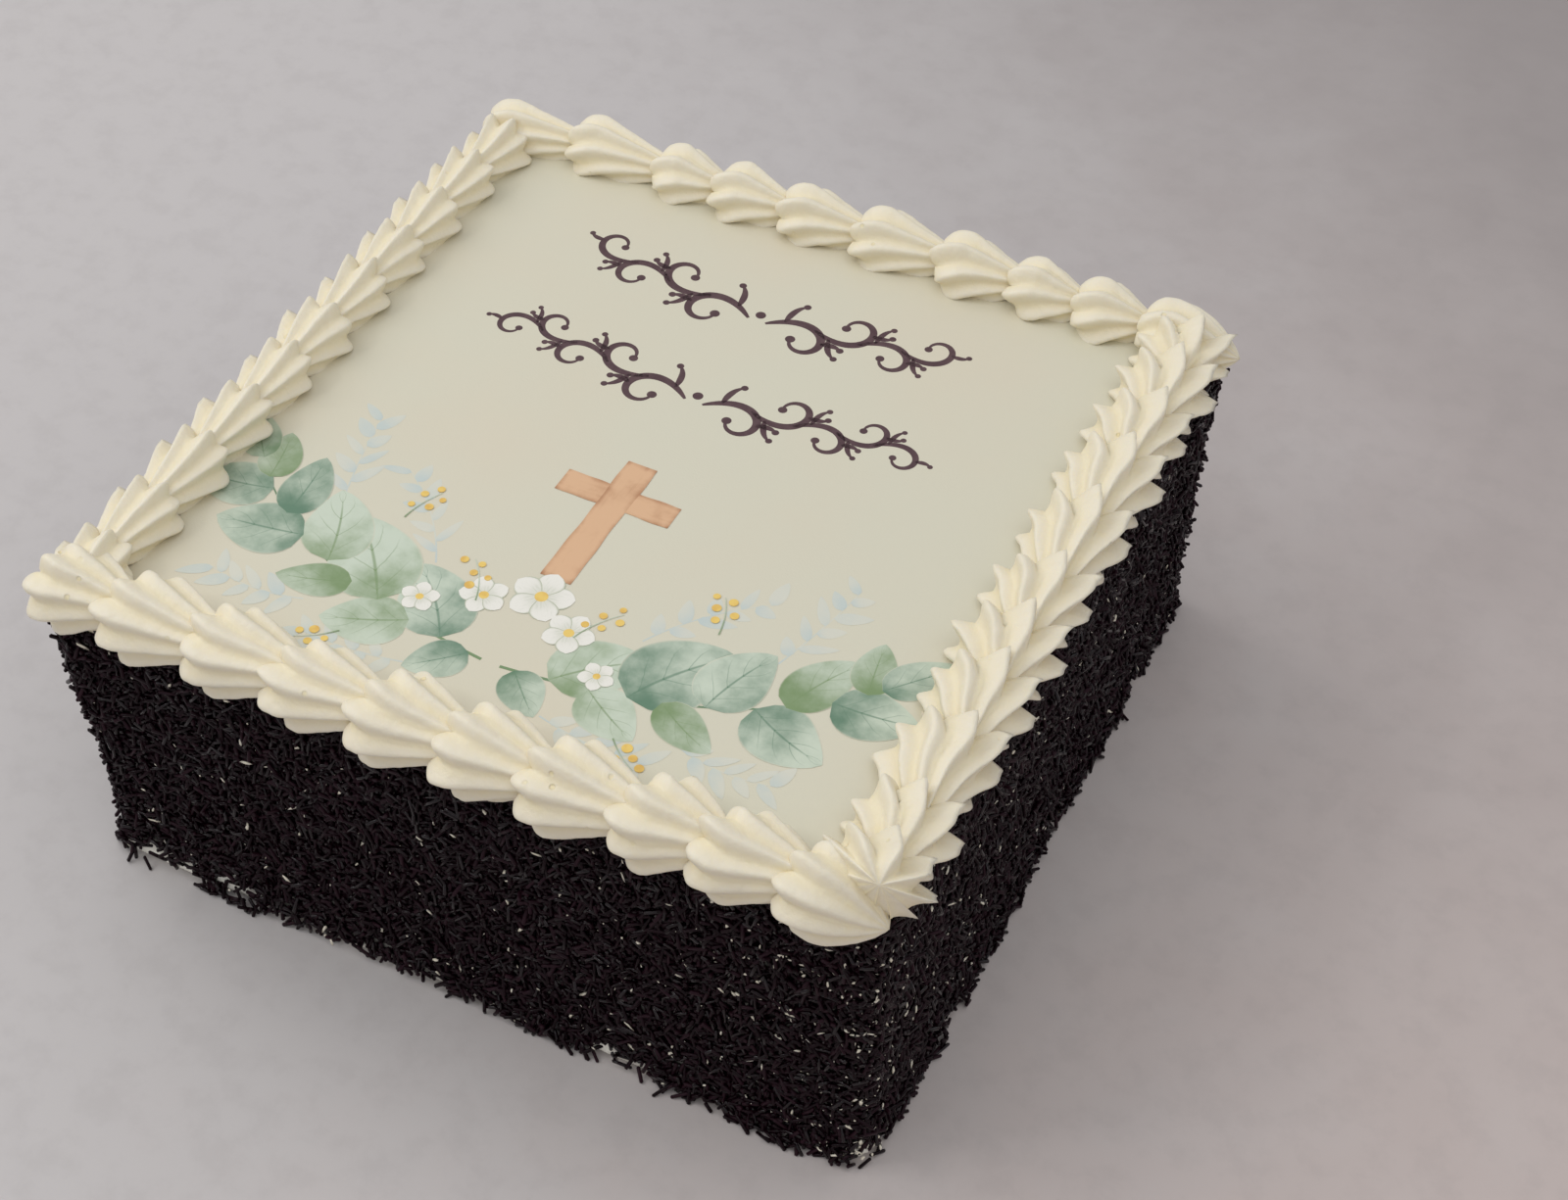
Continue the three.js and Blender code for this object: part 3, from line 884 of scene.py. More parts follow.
def shell_skin(shell, along, around, settings, draw):
    """Places on a shell's skin, in the run's frame: along goes from head to tail and around goes
    round the axis. Also gives how deep in a furrow each place is."""
    head, outside = shell["head"], shell["outside"]
    s = np.where(along < HEAD_ROWS, head * (1 - np.cos(along / HEAD_ROWS * np.pi / 2)),
                 head + (along - HEAD_ROWS) / (1 - HEAD_ROWS) * (shell["length"] - head))
    ridge = np.round(around * FLUTES).astype(int) % FLUTES
    aside_share = 2 * outside * np.cos(2 * np.pi * around)
    outward = shell["teeth"] * np.clip(aside_share, 0, 1)
    inward = np.clip(-aside_share - INNER_START, 0, 1)
    furrow, between = ridge_profile(around * FLUTES, shell, outward)
    own_height = draw.normal(0, RIDGE_JITTER, FLUTES)[ridge] * (1 - between)
    own_lag = draw.normal(0, LAG_JITTER, FLUTES)[ridge] * (1 - between)
    from_lean = 2 * np.pi * around - shell["lean"] + draw.normal(0, TURN_JITTER)
    spread = shell["fan"] * np.exp(-s / FAN_LENGTH) * np.sin(from_lean)
    waver = WAVER * np.sin(s / WAVER_LENGTH + draw.uniform(0, 6))
    angle = shell["lean"] + from_lean + spread + waver
    bluff, taper, closing = swell(s, shell, outward)
    head_depth = 1 + HEAD_DEPTH * np.exp(-s / HEAD_DEPTH_LENGTH)
    depth = shell["depth"] * settings.flute_depth * head_depth * (1 + OUTER_DEPTH * outward)
    flare = 1 + TOOTH_FLARE * outward * (1 - between) * np.exp(-s / TOOTH_LENGTH)
    radius = bluff * taper * closing * flare * (1 - depth * furrow + own_height)
    lag = ridge_ends(shell, around, from_lean, between, outward, inward) + own_lag
    progress = s / shell["length"]
    rim = np.clip(bluff * RIM_SHARP, 0, 1)
    x = shell["start"] + s + (lag * rim + HOLLOW * shell["lag"] * (1 - rim)) * (1 - progress)
    if shell["tip"]:
        aside, rise = (offset * progress**TIP_POWER for offset in shell["tip"])
    else:
        lost = (1 - taper) / (1 - shell["tail"])
        aside, rise = shell["drift"] * lost, shell["rise"] * (1 - taper) * shell["height"]
    inwards, down = (offset * (1 - progress) for offset in shell["dip"])
    bulge = np.exp(-(((s - BULGE_PLACE) / BULGE_SPREAD) ** 2))
    swing = BOW_HEAD * np.exp(-s / BULGE_SPREAD) * (1 - outward) * bluff - BOW_BULGE * bulge
    middle = shell["centre"] + aside - outside * (shell["bow"] * swing + inwards)
    y = middle + shell["width"] * radius * np.cos(angle)
    z = AXIS_HEIGHT + rise - down + shell["height"] * radius * np.sin(angle)
    return np.stack([x, y, z], -1), furrow


def lie_down(points):
    """Lifts what would lie inside the cake onto its top."""
    inside = np.abs(points[:, :2]).max(1) < COAT_HALF + WALL_GAP
    points[:, 2] = np.where(inside, np.maximum(points[:, 2], SHEET_TOP - SHEET_BITE), points[:, 2])
    return points


class CAKE_OT_border(bpy.types.Operator):
    """Pipes the border of cream shells along the four top edges"""

    bl_idname = "cake.border"
    bl_label = "Piped Border"

    def execute(self, context):
        settings = context.scene.cake_border
        draw = np.random.default_rng(settings.seed)
        material = cream_finish("piped_cream", settings)
        clouds = cloud_texture("cream_tearing", TEARING)
        for shell in list_shells():
            piece = self.pipe(shell, settings, draw, clouds)
            finish_piece(piece, material, "piped_cream", shell["node"])
        return {"FINISHED"}

    def pipe(self, shell, settings, draw, clouds):
        name = shell["node"].replace("shell", "cream_shell")
        piece, around, along = grid_piece(name, FLUTES * settings.columns, settings.rows)
        points, furrow = shell_skin(shell, along, around, settings, draw)
        write_points(piece, lie_down(turned(points, shell["turn"])))
        write_attribute(piece, "furrow", furrow)
        close_up(piece)
        apply_modifier(piece, "DISPLACE", texture=clouds, texture_coords="GLOBAL",
                       strength=TEARING_HEIGHT, mid_level=0.5)
        return piece


# The icing sheet


PAPER = linear(217, 213, 192)
SHEET_THICKNESS = 0.45 * MM
# The sheet's unevenness in millimetres: slow swells, ripples near its left edge, and how far its
# middle level lies under the top of the solid, so that no swell stands out of it.
SWELL_HEIGHT = 0.12
RIPPLE_HEIGHT = 0.07
RIPPLE_PLACE = -90 * MM
SHEET_SINK = 0.19


class SheetSettings(bpy.types.PropertyGroup):
    colour: tint("Icing", "Colour of the icing sheet", PAPER)
    faces: number("Faces", "Faces along each side", 84, 4)


def sheet_height(x, y):
    """The top of the sheet, which lies a little unevenly on the cream."""
    swells = np.sin(x / (31 * MM) + 0.7) * np.sin(y / (43 * MM) + 2.1)
    near_edge = np.exp(-(((x - RIPPLE_PLACE) / (30 * MM)) ** 2))
    ripples = np.sin(x / (9 * MM) + y / (60 * MM)) * near_edge
    return SHEET_TOP + (SWELL_HEIGHT * swells + RIPPLE_HEIGHT * ripples - SHEET_SINK) * MM


def sheet_finish(settings):
    finish = Finish("icing_sheet", roughness=0.42)
    cloud = finish.noise(14, 3)
    finish.colour(finish.mix(cloud.between(0.3, 0.75), tuple(settings.colour), linear(219, 211, 189)))
    finish.relief(finish.noise(1400, 2), 0.04 * MM)
    return finish.material


class CAKE_OT_sheet(bpy.types.Operator):
    """Lays the icing sheet on the cake"""

    bl_idname = "cake.sheet"
    bl_label = "Icing Sheet"

    def execute(self, context):
        settings = context.scene.cake_sheet
        sheet, across, up = grid_piece("printed_icing_sheet", settings.faces, settings.faces)
        x = (2 * across - 1) * SHEET_HALF
        y = (2 * up - 1) * SHEET_HALF
        write_points(sheet, np.stack([x, y, sheet_height(x, y)], -1))
        apply_modifier(sheet, "SOLIDIFY", thickness=SHEET_THICKNESS, offset=-1)
        finish_piece(sheet, sheet_finish(settings), "icing_sheet", "icing_sheet")
        return {"FINISHED"}


# The printed design


class PrintSettings(bpy.types.PropertyGroup):
    ink: tint("Ink", "Colour of the scrolls", linear(78, 52, 57))
    light_leaf: tint("Light Leaf", "Colour of a leaf where the wash is thin", linear(206, 216, 197))
    dark_leaf: tint("Dark Leaf", "Colour of a leaf where the wash is thick", linear(98, 132, 108))
    yellow_leaf: tint("Yellow Leaf", "Colour of the warmer leaves where the wash is thick",
                      linear(126, 150, 104))
    ghost_leaf: tint("Ghost Leaf", "Colour of the faint leaves behind the sprays",
                     linear(196, 207, 203))
    wood: tint("Cross", "Colour of the cross", linear(224, 182, 143))
    berry: tint("Berry", "Colour of the berries and the hearts of the blossoms",
                linear(240, 206, 112))
    petal: tint("Petal", "Colour of the blossoms", linear(240, 237, 227))


PRINT_LEVEL = 0.02 * MM  # of the lowest print over the sheet
LAYER = 0.004 * MM  # between prints that lie over each other
PRINT_THICKNESS = 0.018 * MM
# The prints' layers, from the lowest up
GHOST_LAYER = 0
STEM_LAYER = 13
LEAF_LAYER = 14
CROSS_LAYER = 26
PETAL_LAYER = 28
TWIG_LAYER = 54
BERRY_LAYER = 55
PRINT_MIDDLE = -8  # the design's middle line, in millimetres, between the runs of the border

# The design's sizes are in millimetres on the sheet, and its directions in degrees.
SCROLL_ROWS = [{"height": 76, "curls": 4, "size": 1.2}, {"height": 32, "curls": 5, "size": 1.15}]
CURL_LENGTH = 34
CURL_WIDTH = 2.5
CURL_HEADING = 40  # of the first curl of a row
CURL_BENDS = (-0.02, -0.3)
NEXT_CURL = 0.42  # how far along a curl the next one leaves it
SPRIGS = [(0.16, 62, 9, -0.1), (0.6, 100, 6, -0.16)]  # place on a curl, turn, length and bend
SCROLL_SHRINK = 0.93  # of each curl from the middle outwards
ROW_START = (3, -3)  # of a row's first curl, from the dot in the row's middle
DOT_RADIUS = 1.7
SPRIG_WIDTH = 0.75  # beside the curl that it leaves
PEN_DOT = 0.55  # radius of the blot at a stroke's end, beside the stroke's width
PRINT_SEED = 23
STEM = {"start": (3, -95), "heading": 6, "length": 114, "bends": (0.002, 0.012)}
# The leaves of a spray: place along the stem, side, length, width and tone
LEAVES = [
    (0.04, -1, 20, 15, 0.7), (0.13, 1, 31, 24, 0.3), (0.24, -1, 25, 19, 0.15), (0.34, 1, 34, 27, 0.5),
    (0.44, -1, 23, 14, 0.85), (0.55, 1, 30, 22, 0.2), (0.65, -1, 27, 21, 0.55), (0.75, 1, 28, 17, 0.9),
    (0.85, -1, 24, 18, 0.35), (0.94, 1, 21, 14, 0.7), (1.0, 0, 23, 13, 0.5),
]
LEAF_ANGLE = 50
# The range of each leaf's own place, turn, size and bend
LEAF_PLACES = (0.95, 1.0)
LEAF_TURNS = (-12, 12)
LEAF_SIZES = (0.9, 1.08)
LEAF_BENDS = (0.004, 0.016)
LEAF_TONE_JITTER = 0.1
# Thin stems beside the sprays: start from the middle line, heading, length and bend
GHOST_STEMS = [
    ((34, -68), 62, 42, -0.012), ((72, -58), 72, 38, 0.004), ((22, -106), -14, 34, 0.01),
    ((60, -98), -20, 32, 0.02),
]
GHOST_LEAVES = 9
GHOST_TURNS = (38, 55)
GHOST_LENGTHS = (7, 12)
GHOST_WIDTHS = (3, 4.8)
GHOST_TONES = (0, 0.7)
BERRY_STEMS = [((16, -76), 74, 17, -0.03), ((44, -104), -48, 13, 0.03), ((52, -56), 96, 15, 0.03)]
# The berries of a twig: how many, where the first sits along it and how far apart they are
BERRIES = (5, 0.3, 0.17)
BERRY_TURN = 70
BERRY_STALKS = (1.5, 3.2)
BERRY_RADII = (1.0, 1.7)
# The bars of the cross: middle across and up, half length, heading and half width
CROSS_BARS = [(0, -20, 19, 0, 4.6), (0, -31, 27, 90, 4.9)]
PETALS = 5
PETAL_WIDTH = 0.86  # beside its length
HEART_RADIUS = 0.2
# The blossoms: across from the middle line, height, petal length and turn
BLOSSOMS = [(0, -66, 10, 18), (-15, -73, 7.5, 50), (14, -75, 8, 5), (-31, -82, 6, 30), (29, -86, 5.5, 65)]


def stroke_path(start, heading, length, bends, points=48):
    """A stroke whose curvature changes evenly from one end to the other, in radians a millimetre:
    its points and its direction at each."""
    s = np.linspace(0, length, points)
    angle = math.radians(heading) + bends[0] * s + (bends[1] - bends[0]) * s**2 / (2 * length)
    step = np.stack([np.cos(angle), np.sin(angle)], -1) * length / (points - 1)
    path = np.array(start) + np.concatenate([np.zeros((1, 2)), np.cumsum((step[1:] + step[:-1]) / 2, 0)])
    return path, angle


def mirrored(path, angle):
    """The same stroke on the other side of the design's middle line."""
    return path * (-1, 1), math.pi - angle


def point_on(stroke, share):
    """A point of a stroke and its direction there in degrees."""
    path, angle = stroke
    shares = np.linspace(0, 1, len(angle))
    point = [np.interp(share, shares, path[:, axis]) for axis in (0, 1)]
    return point, math.degrees(np.interp(share, shares, angle))


def pen_width(v):
    return 0.3 + 0.7 * np.sin(np.pi * v**0.8)


def leaf_width(v):
    return np.clip(np.sin(np.pi * v**0.72), 0.002, 1) ** 0.7


def petal_width(v):
    return np.clip(np.sin(np.pi * v**1.3), 0.004, 1) ** 0.7


def stem_width(v):
    return 1 - 0.6 * v


def bar_width(v):
    return 1 + 0.03 * np.sin(9 * v) + 0.02 * np.sin(23 * v + 1)


class Prints:
    """Flat printed shapes, gathered to make one piece. Each is a ribbon along a stroke."""

    def __init__(self, columns, rows):
        grid, across, self.along = grid_piece("print_patch", columns, rows)
        self.side = 2 * across - 1
        self.faces = np.array([list(face.vertices) for face in grid.data.polygons])
        bpy.data.objects.remove(grid)
        self.shapes, self.levels, self.tones = [], [], []

    def ribbon(self, stroke, width, profile, tone=0.5, level=0):
        path, angle = stroke
        share = np.linspace(0, 1, len(angle))
        middle = [np.interp(self.along, share, path[:, axis]) for axis in (0, 1)]
        turn = np.interp(self.along, share, angle)
        out = self.side * width / 2 * profile(self.along)
        self.shapes.append(np.stack([middle[0] + out * np.sin(turn), middle[1] - out * np.cos(turn)], -1))
        self.note(tone, level)

    def disc(self, middle, radius, tone=0.5, level=0):
        """A round spot, from the square grid."""
        up = 2 * self.along - 1
        disc = np.stack([self.side * np.sqrt(1 - up**2 / 2), up * np.sqrt(1 - self.side**2 / 2)], -1)
        self.shapes.append(np.array(middle) + radius * disc)
        self.note(tone, level)

    def note(self, tone, level):
        self.tones.append(np.full(len(self.along), tone))
        self.levels.append(np.full(len(self.along), level))

    def finish(self, name, material):
        """Lays all the shapes on the sheet as one thin piece."""
        flat = np.concatenate(self.shapes) * MM
        x, y = flat[:, 0] + PRINT_MIDDLE * MM, flat[:, 1]
        z = sheet_height(x, y) + PRINT_LEVEL + LAYER * np.concatenate(self.levels)
        count = len(self.shapes)
        faces = self.faces[None] + np.arange(count)[:, None, None] * len(self.along)
        piece = new_piece(name, np.stack([x, y, z], -1), faces.reshape(-1, 4))
        places = np.tile(np.stack([(self.side + 1) / 2, self.along], -1), (count, 1))
        layer = piece.data.uv_layers.new(name=PRINT_MAP)
        layer.data.foreach_set("uv", places[faces.ravel()].astype(np.float32).ravel())
        write_attribute(piece, "tone", np.concatenate(self.tones))
        apply_modifier(piece, "SOLIDIFY", thickness=PRINT_THICKNESS, offset=-1)
        return finish_piece(piece, material, "icing_sheet", "icing_sheet", smooth=False)


def print_finish(name):
    """A printed colour on the icing sheet, to be given its wash."""
    return Finish(name, roughness=0.44)


def ink_finish(settings):
    finish = print_finish("printed_ink")
    patchy = finish.noise(320, 3).between(0.35, 0.75) * 0.22
    finish.colour(finish.mix(patchy, tuple(settings.ink), linear(124, 100, 100)))
    return finish.material


def leaf_finish(name, light, dark, yellow, lines=0.0):
    """A watercolour wash: thicker at the stalk and on one side, with fine veins and soft edges."""
    finish = print_finish(name)
    across, along = finish.uv()
    tone = finish.attribute("tone")
    side = abs(across * 2 - 1)
    cloud = finish.noise(75, 3, 0.55)
    grain = finish.noise(1100, 2)
    stalk = (1 - along) ** 2
    depth = tone * 0.5 + (cloud - 0.5) * 1.7 + stalk * 0.55 + across * 0.14 + (grain - 0.5) * 0.16
    pigment = finish.mix((tone * 7.3).fraction().between(0.35, 0.65), dark, yellow)
    wash = finish.mix(depth.between(0.0, 1.15), light, pigment)
    rib = (1 - side.between(0.012, 0.05)) * (1 - along.between(0.6, 1.0))
    slant = (along * 4.4 - side * 1.7 + (cloud - 0.5) * 0.5).fraction()
    vein = (1 - abs(slant - 0.5).between(0.012, 0.045)) * (1 - side.between(0.3, 0.9))
    veined = finish.mix((rib * 0.9 + vein * 0.6) * lines, wash, pigment)
    finish.colour(finish.mix(side.between(0.93, 1.02) * 0.75, veined, PAPER))
    return finish.material


def petal_finish(settings):
    finish = print_finish("printed_petals")
    across, along = finish.uv()
    side = abs(across * 2 - 1)
    streak = finish.grain(9, 2).between(0.45, 0.8) * 0.4
    shade = (1 - along) * 0.8 + side.between(0.8, 1.0) * 0.7 + streak
    finish.colour(finish.mix(shade.between(0.2, 1.5), tuple(settings.petal), linear(170, 178, 148)))
    return finish.material


def wood_finish(settings):
    """Wood in watercolour: an uneven wash with a darker rim and a few long streaks."""
    finish = print_finish("printed_cross")
    across, along = finish.uv()
    side = abs(across * 2 - 1)
    end = abs(along * 2 - 1)
    streak = finish.grain(5, 1.2).between(0.45, 0.8)
    cloud = finish.noise(90, 4, 0.6)
    rim = side.between(0.6, 1.0) * 0.45 + end.between(0.9, 1.0) * 0.45
    dark = streak * 0.3 + rim + (cloud - 0.5) * 1.8
    finish.colour(finish.mix(dark.between(-0.1, 1.1), tuple(settings.wood), linear(170, 116, 78)))
    return finish.material


def berry_finish(name, settings):
    finish = print_finish(name)
    cloud = finish.noise(300, 2).between(0.35, 0.7)
    finish.colour(finish.mix(cloud, tuple(settings.berry), linear(226, 182, 92)))
    return finish.material


class CAKE_OT_scrolls(bpy.types.Operator):
    """Prints the two rows of pen scrolls"""

    bl_idname = "cake.scrolls"
    bl_label = "Printed Scrolls"

    def execute(self, context):
        strokes = Prints(2, 44)
        spots = Prints(6, 6)
        for row in SCROLL_ROWS:
            self.draw_row(row, strokes, spots)
        material = ink_finish(context.scene.cake_print)
        strokes.finish("print_scrolls", material)
        spots.finish("print_scroll_ends", material)
        return {"FINISHED"}

    def draw_row(self, row, strokes, spots):
        """A vine from the middle outwards, whose curls turn up and down by turns, with sprigs."""
        spots.disc((0, row["height"]), DOT_RADIUS, level=2)
        start, heading = (ROW_START[0], row["height"] + ROW_START[1]), CURL_HEADING
        size, up = row["size"], 1
        for _ in range(row["curls"]):
            bends = [bend * up / size for bend in CURL_BENDS]
            curl = stroke_path(start, heading, CURL_LENGTH * size, bends)
            self.pen(strokes, spots, curl, CURL_WIDTH * size)
            for share, turn, length, bend in SPRIGS:
                base, along = point_on(curl, share)
                bends = (0, 2 * bend * up / size)
                sprig = stroke_path(base, along + turn * up, length * size, bends)
                self.pen(strokes, spots, sprig, SPRIG_WIDTH * CURL_WIDTH * size)
            start, heading = point_on(curl, NEXT_CURL)
            size *= SCROLL_SHRINK
            up = -up

    def pen(self, strokes, spots, stroke, width):
        for level, side in enumerate((stroke, mirrored(*stroke))):
            strokes.ribbon(side, width, pen_width, level=level)
            spots.disc(side[0][-1], PEN_DOT * width, level=2)


class CAKE_OT_cross(bpy.types.Operator):
    """Prints the plain cross"""

    bl_idname = "cake.cross"
    bl_label = "Printed Cross"

    def execute(self, context):
        bars = Prints(6, 30)
        for level, (across, height, half, heading, half_width) in enumerate(CROSS_BARS):
            turn = math.radians(heading)
            start = (across - half * math.cos(turn), height - half * math.sin(turn))
            bars.ribbon(stroke_path(start, heading, 2 * half, (0, 0)), 2 * half_width, bar_width,
                        level=CROSS_LAYER + level)
        bars.finish("print_cross", wood_finish(context.scene.cake_print))
        return {"FINISHED"}


class CAKE_OT_sprays(bpy.types.Operator):
    """Prints the two sprays of leaves with the faint leaves and berries beside them"""

    bl_idname = "cake.sprays"
    bl_label = "Printed Sprays"

    def execute(self, context):
        settings = context.scene.cake_print
        draw = np.random.default_rng(PRINT_SEED)
        self.leafy(draw, settings)
        self.ghosts(draw, settings)
        self.berries(draw, settings)
        return {"FINISHED"}

    def leafy(self, draw, settings):
        leaves, stems = Prints(8, 16), Prints(2, 40)
        stem = stroke_path(**STEM)
        for is_left, side in enumerate((stem, mirrored(*stem))):
            stems.ribbon(side, 1.0, stem_width, 0.9, STEM_LAYER)
            for level, (share, hand, length, width, tone) in enumerate(LEAVES):
                base, heading = point_on(side, share * draw.uniform(*LEAF_PLACES))
                hand = -hand if is_left else hand
                heading += hand * (LEAF_ANGLE + draw.uniform(*LEAF_TURNS))
                size = draw.uniform(*LEAF_SIZES)
                bend = -hand * draw.uniform(*LEAF_BENDS)
                leaf = stroke_path(base, heading, length * size, (bend, bend))
                depth = np.clip(tone + draw.normal(0, LEAF_TONE_JITTER), 0, 1)
                leaves.ribbon(leaf, width * size, leaf_width, depth, LEAF_LAYER + level)
        light, dark, yellow = self.greens(settings)
        leaves.finish("print_leaves", leaf_finish("printed_leaves", light, dark, yellow, 0.75))
        stems.finish("print_stems", leaf_finish("printed_stems", dark, dark, yellow))

    def greens(self, settings):
        return tuple(settings.light_leaf), tuple(settings.dark_leaf), tuple(settings.yellow_leaf)

    def ghosts(self, draw, settings):
        leaves = Prints(4, 10)
        for order, (start, heading, length, bend) in enumerate(GHOST_STEMS):
            stem = stroke_path(start, heading, length, (bend, bend))
            for side in (stem, mirrored(*stem)):
                leaves.ribbon(side, 0.6, stem_width, 0.3, GHOST_LAYER)
                for i in range(GHOST_LEAVES):
                    base, turn = point_on(side, (i + 1) / (GHOST_LEAVES + 0.5))
                    turn += (1 - 2 * (i % 2)) * draw.uniform(*GHOST_TURNS)
                    leaf = stroke_path(base, turn, draw.uniform(*GHOST_LENGTHS), (0, 0.01))
                    level = GHOST_LAYER + 1 + 3 * order + i % 3
                    width, tone = draw.uniform(*GHOST_WIDTHS), draw.uniform(*GHOST_TONES)
                    leaves.ribbon(leaf, width, leaf_width, tone, level)
        ghost = tuple(settings.ghost_leaf)
        finish = leaf_finish("printed_faint_leaves", linear(217, 216, 201), ghost, ghost)
        leaves.finish("print_faint_leaves", finish)

    def berries(self, draw, settings):
        berries, twigs = Prints(6, 6), Prints(2, 12)
        count, first, gap = BERRIES
        for start, heading, length, bend in BERRY_STEMS:
            stem = stroke_path(start, heading, length, (bend, bend))
            for side in (stem, mirrored(*stem)):
                twigs.ribbon(side, 0.45, stem_width, 0.4, TWIG_LAYER)
                for i in range(count):
                    base, turn = point_on(side, first + gap * i)
                    turn = math.radians(turn + (1 - 2 * (i % 2)) * BERRY_TURN)
                    away = draw.uniform(*BERRY_STALKS)
                    middle = (base[0] + away * math.cos(turn), base[1] + away * math.sin(turn))
                    berries.disc(middle, draw.uniform(*BERRY_RADII), level=BERRY_LAYER + i)
        berries.finish("print_berries", berry_finish("printed_berries", settings))
        twigs.finish("print_twigs", leaf_finish("printed_twigs", *self.greens(settings)))


class CAKE_OT_blossoms(bpy.types.Operator):
    """Prints the small five-petalled blossoms at the foot of the cross"""

    bl_idname = "cake.blossoms"
    bl_label = "Printed Blossoms"

    def execute(self, context):
        settings = context.scene.cake_print
        petals, hearts = Prints(8, 10), Prints(6, 6)
        for order, (across, height, length, turn) in enumerate(BLOSSOMS):
            level = PETAL_LAYER + PETALS * order
            for i in range(PETALS):
                petal = stroke_path((across, height), turn + 360 / PETALS * i, length, (0, 0))
                petals.ribbon(petal, PETAL_WIDTH * length, petal_width, level=level + i)
            hearts.disc((across, height), HEART_RADIUS * length, level=level + PETALS)
        petals.finish("print_petals", petal_finish(settings))
        hearts.finish("print_hearts", berry_finish("printed_hearts", settings))
        return {"FINISHED"}


# The stage


# The lights: the name of its power among the settings, its size and its place, in metres
LIGHTS = [
    ("key", 1.7, (-1.4, -0.1, 1.55)),
    ("glint", 0.25, (-1.0, -0.95, 1.5)),
    ("fill", 1.6, (0.35, -0.3, 1.9)),
]
LIGHT_AIM = Vector((0, 0, 0.06))
FLOOR_SIZE = 12


class StageSettings(bpy.types.PropertyGroup):
    floor: tint("Floor", "Colour of the floor", linear(200, 195, 193))
    key: watts("Key Light", "Power of the window light", 13.5)
    glint: watts("Glint", "Power of the small light that the strands catch", 2.4)
    fill: watts("Fill Light", "Power of the soft light above", 6.5)
    sky: FloatProperty(
        name="Sky", description="Strength of the light from all round", default=0.54, min=0)


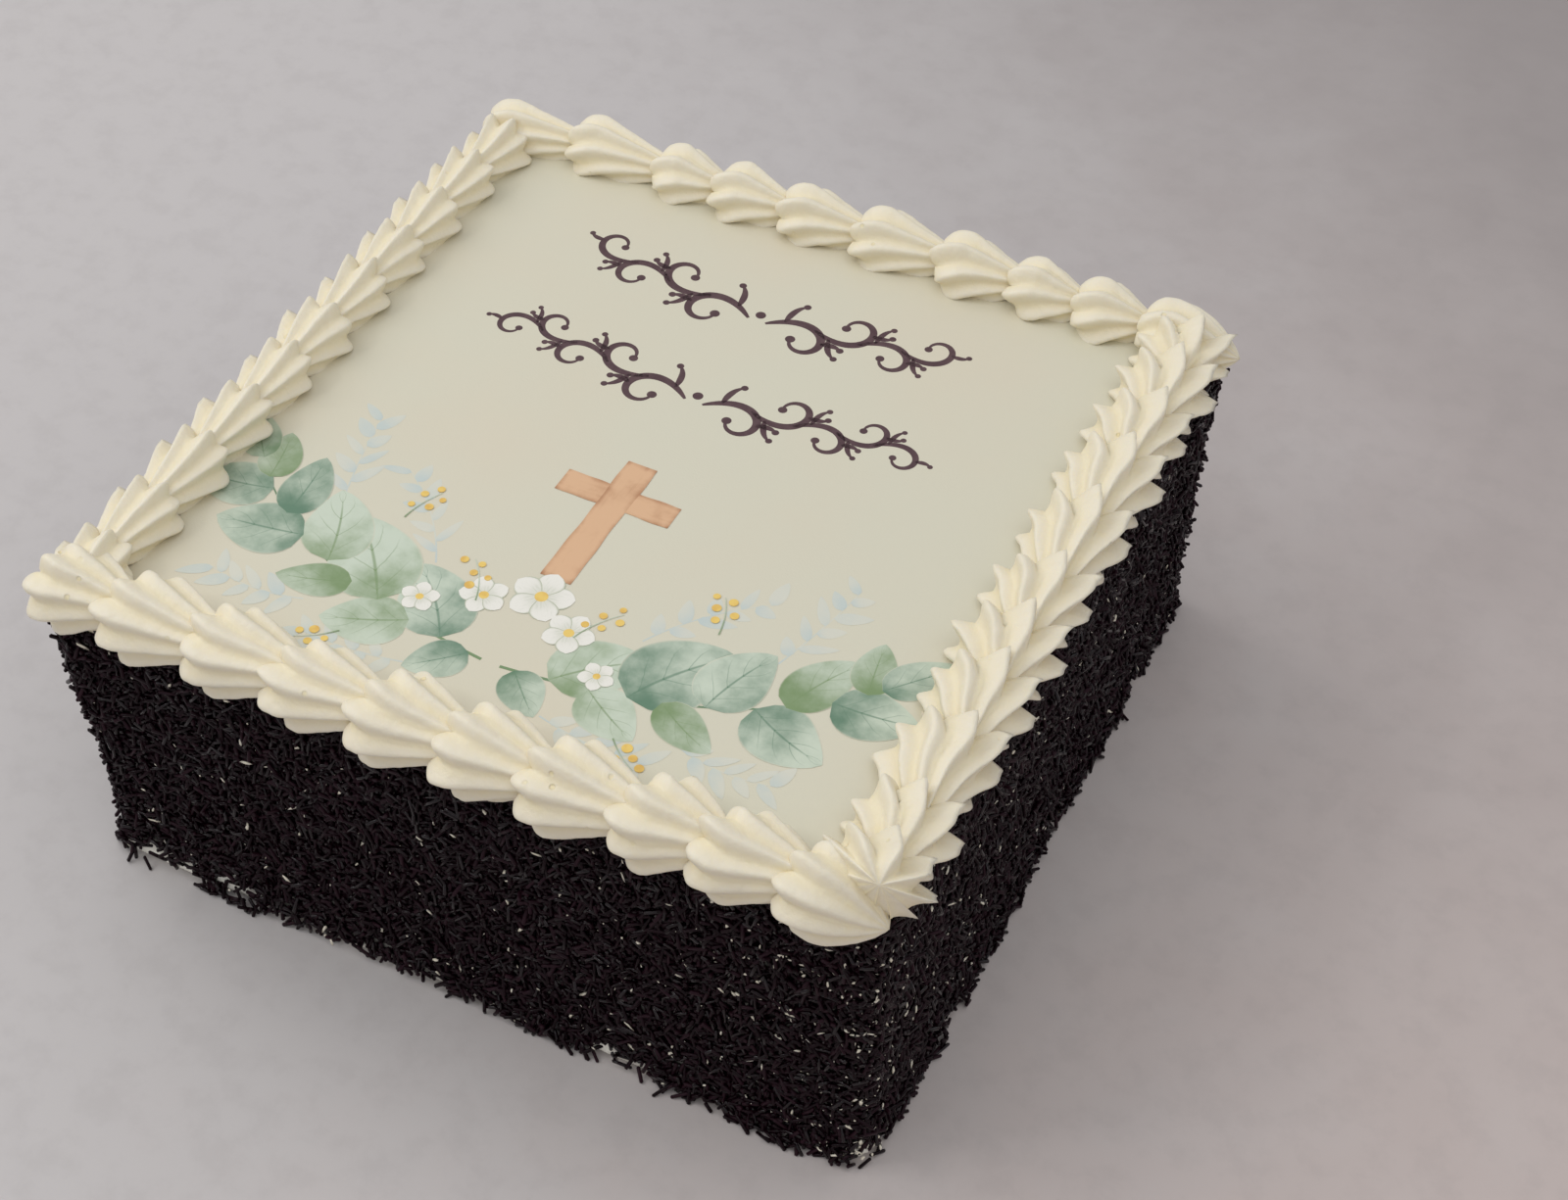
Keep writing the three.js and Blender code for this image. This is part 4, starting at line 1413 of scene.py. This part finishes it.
class CAKE_OT_stage(bpy.types.Operator):
    """Sets the floor, the lights and the photograph's camera"""

    bl_idname = "cake.stage"
    bl_label = "Stage"

    def execute(self, context):
        settings = context.scene.cake_stage
        self.lay_floor(settings)
        self.light_up(context.scene, settings)
        self.set_camera(context.scene)
        return {"FINISHED"}

    def lay_floor(self, settings):
        deselect()
        bpy.ops.mesh.primitive_plane_add(size=FLOOR_SIZE)
        floor = bpy.context.object
        floor.name = "floor"
        floor.data.materials.append(self.floor_finish(settings))
        floor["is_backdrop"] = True

    def floor_finish(self, settings):
        """Plain pale stone with soft mottling and specks, and painted light: a warm tint to the right and
        painted shade further off.
        """
        finish = Finish("floor", roughness=0.6)
        split = finish.node("ShaderNodeSeparateXYZ", None, {0: finish.place})
        x, y = Field(finish, split.outputs[0]), Field(finish, split.outputs[1])
        mottle = (finish.noise(16, 4, 0.6) - 0.5) * 0.5
        # Painted light: the floor colour is drawn warmer to the right, standing in for how the light falls
        # there.
        painted_warm_light = finish.mix((x * 2 + mottle).between(-0.2, 0.8), tuple(settings.floor), linear(206, 191, 185))
        # Painted shade: far makes the floor darker further off.
        far = (y * 1.2 + x * 0.9 + mottle * 0.6).between(0.05, 0.9)
        speckle = finish.noise(70, 4, 0.65).between(0.42, 0.7) * 0.12
        stone = finish.mix(far, painted_warm_light, linear(158, 150, 148))
        finish.colour(finish.mix(speckle, stone, linear(150, 142, 140)))
        return finish.material

    def light_up(self, scene, settings):
        for name, size, place in LIGHTS:
            self.add_light(name, getattr(settings, name), size, place)
        world = bpy.data.worlds.new("studio")
        world.use_nodes = True
        background = world.node_tree.nodes["Background"]
        background.inputs["Color"].default_value = linear(250, 251, 255)
        background.inputs["Strength"].default_value = settings.sky
        scene.world = world
        scene.view_settings.view_transform = "Standard"

    def add_light(self, name, power, size, place):
        bpy.ops.object.light_add(type="AREA", location=place)
        light = bpy.context.object
        light.name = name
        light.data.energy = power
        light.data.size = size
        aim = LIGHT_AIM - Vector(place)
        light.rotation_euler = aim.to_track_quat("-Z", "Y").to_euler()

    def set_camera(self, scene):
        bpy.ops.object.camera_add()
        camera = bpy.context.object
        camera.name = "camera"
        camera.data.sensor_width = SENSOR_WIDTH
        camera.data.lens = FOCAL_PIXELS * SENSOR_WIDTH / IMAGE_WIDTH
        back = Vector((math.sin(CAMERA_AZIMUTH) * math.cos(CAMERA_ELEVATION),
                       -math.cos(CAMERA_AZIMUTH) * math.cos(CAMERA_ELEVATION), math.sin(CAMERA_ELEVATION)))
        level = Vector((0, 0, 1)).cross(back).normalized()
        upright = back.cross(level)
        right = math.cos(CAMERA_ROLL) * level + math.sin(CAMERA_ROLL) * upright
        up = math.cos(CAMERA_ROLL) * upright - math.sin(CAMERA_ROLL) * level
        place = CAMERA_TARGET + CAMERA_DISTANCE * back
        camera.matrix_world = Matrix.Translation(place) @ Matrix((right, up, back)).transposed().to_4x4()
        scene.camera = camera


class CAKE_PT_panel(bpy.types.Panel):
    """Lists the steps that make the cake"""

    bl_idname = "CAKE_PT_panel"
    bl_label = "Celebration Cake"
    bl_space_type = "VIEW_3D"
    bl_region_type = "UI"
    bl_category = "Cake"

    def draw(self, context):
        for step in STEPS:
            self.layout.operator(step.bl_idname)


SETTINGS = {
    "cake_coat": CoatSettings,
    "cake_strands": StrandSettings,
    "cake_border": BorderSettings,
    "cake_sheet": SheetSettings,
    "cake_print": PrintSettings,
    "cake_stage": StageSettings,
}
STEPS = [
    CAKE_OT_stage, CAKE_OT_coat, CAKE_OT_sheet, CAKE_OT_scrolls, CAKE_OT_cross, CAKE_OT_sprays,
    CAKE_OT_blossoms, CAKE_OT_border, CAKE_OT_strands, CAKE_OT_flecks,
]


def register():
    for cls in [*SETTINGS.values(), *STEPS, CAKE_PT_panel]:
        bpy.utils.register_class(cls)
    for name, cls in SETTINGS.items():
        setattr(bpy.types.Scene, name, PointerProperty(type=cls))


def unregister():
    for name in SETTINGS:
        delattr(bpy.types.Scene, name)
    for cls in [CAKE_PT_panel, *reversed(STEPS), *reversed(SETTINGS.values())]:
        bpy.utils.unregister_class(cls)


def write_size():
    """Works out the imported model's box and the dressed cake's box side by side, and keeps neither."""
    boxes = {"cad": CAD_BOUNDS, "visual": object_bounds()}
    sizes = {name: [list(corner) for corner in box] for name, box in boxes.items()}


def main():
    register()
    for step in STEPS:
        group, name = step.bl_idname.split(".")
        getattr(getattr(bpy.ops, group), name)()
    write_size()


if __name__ == "__main__":
    main()
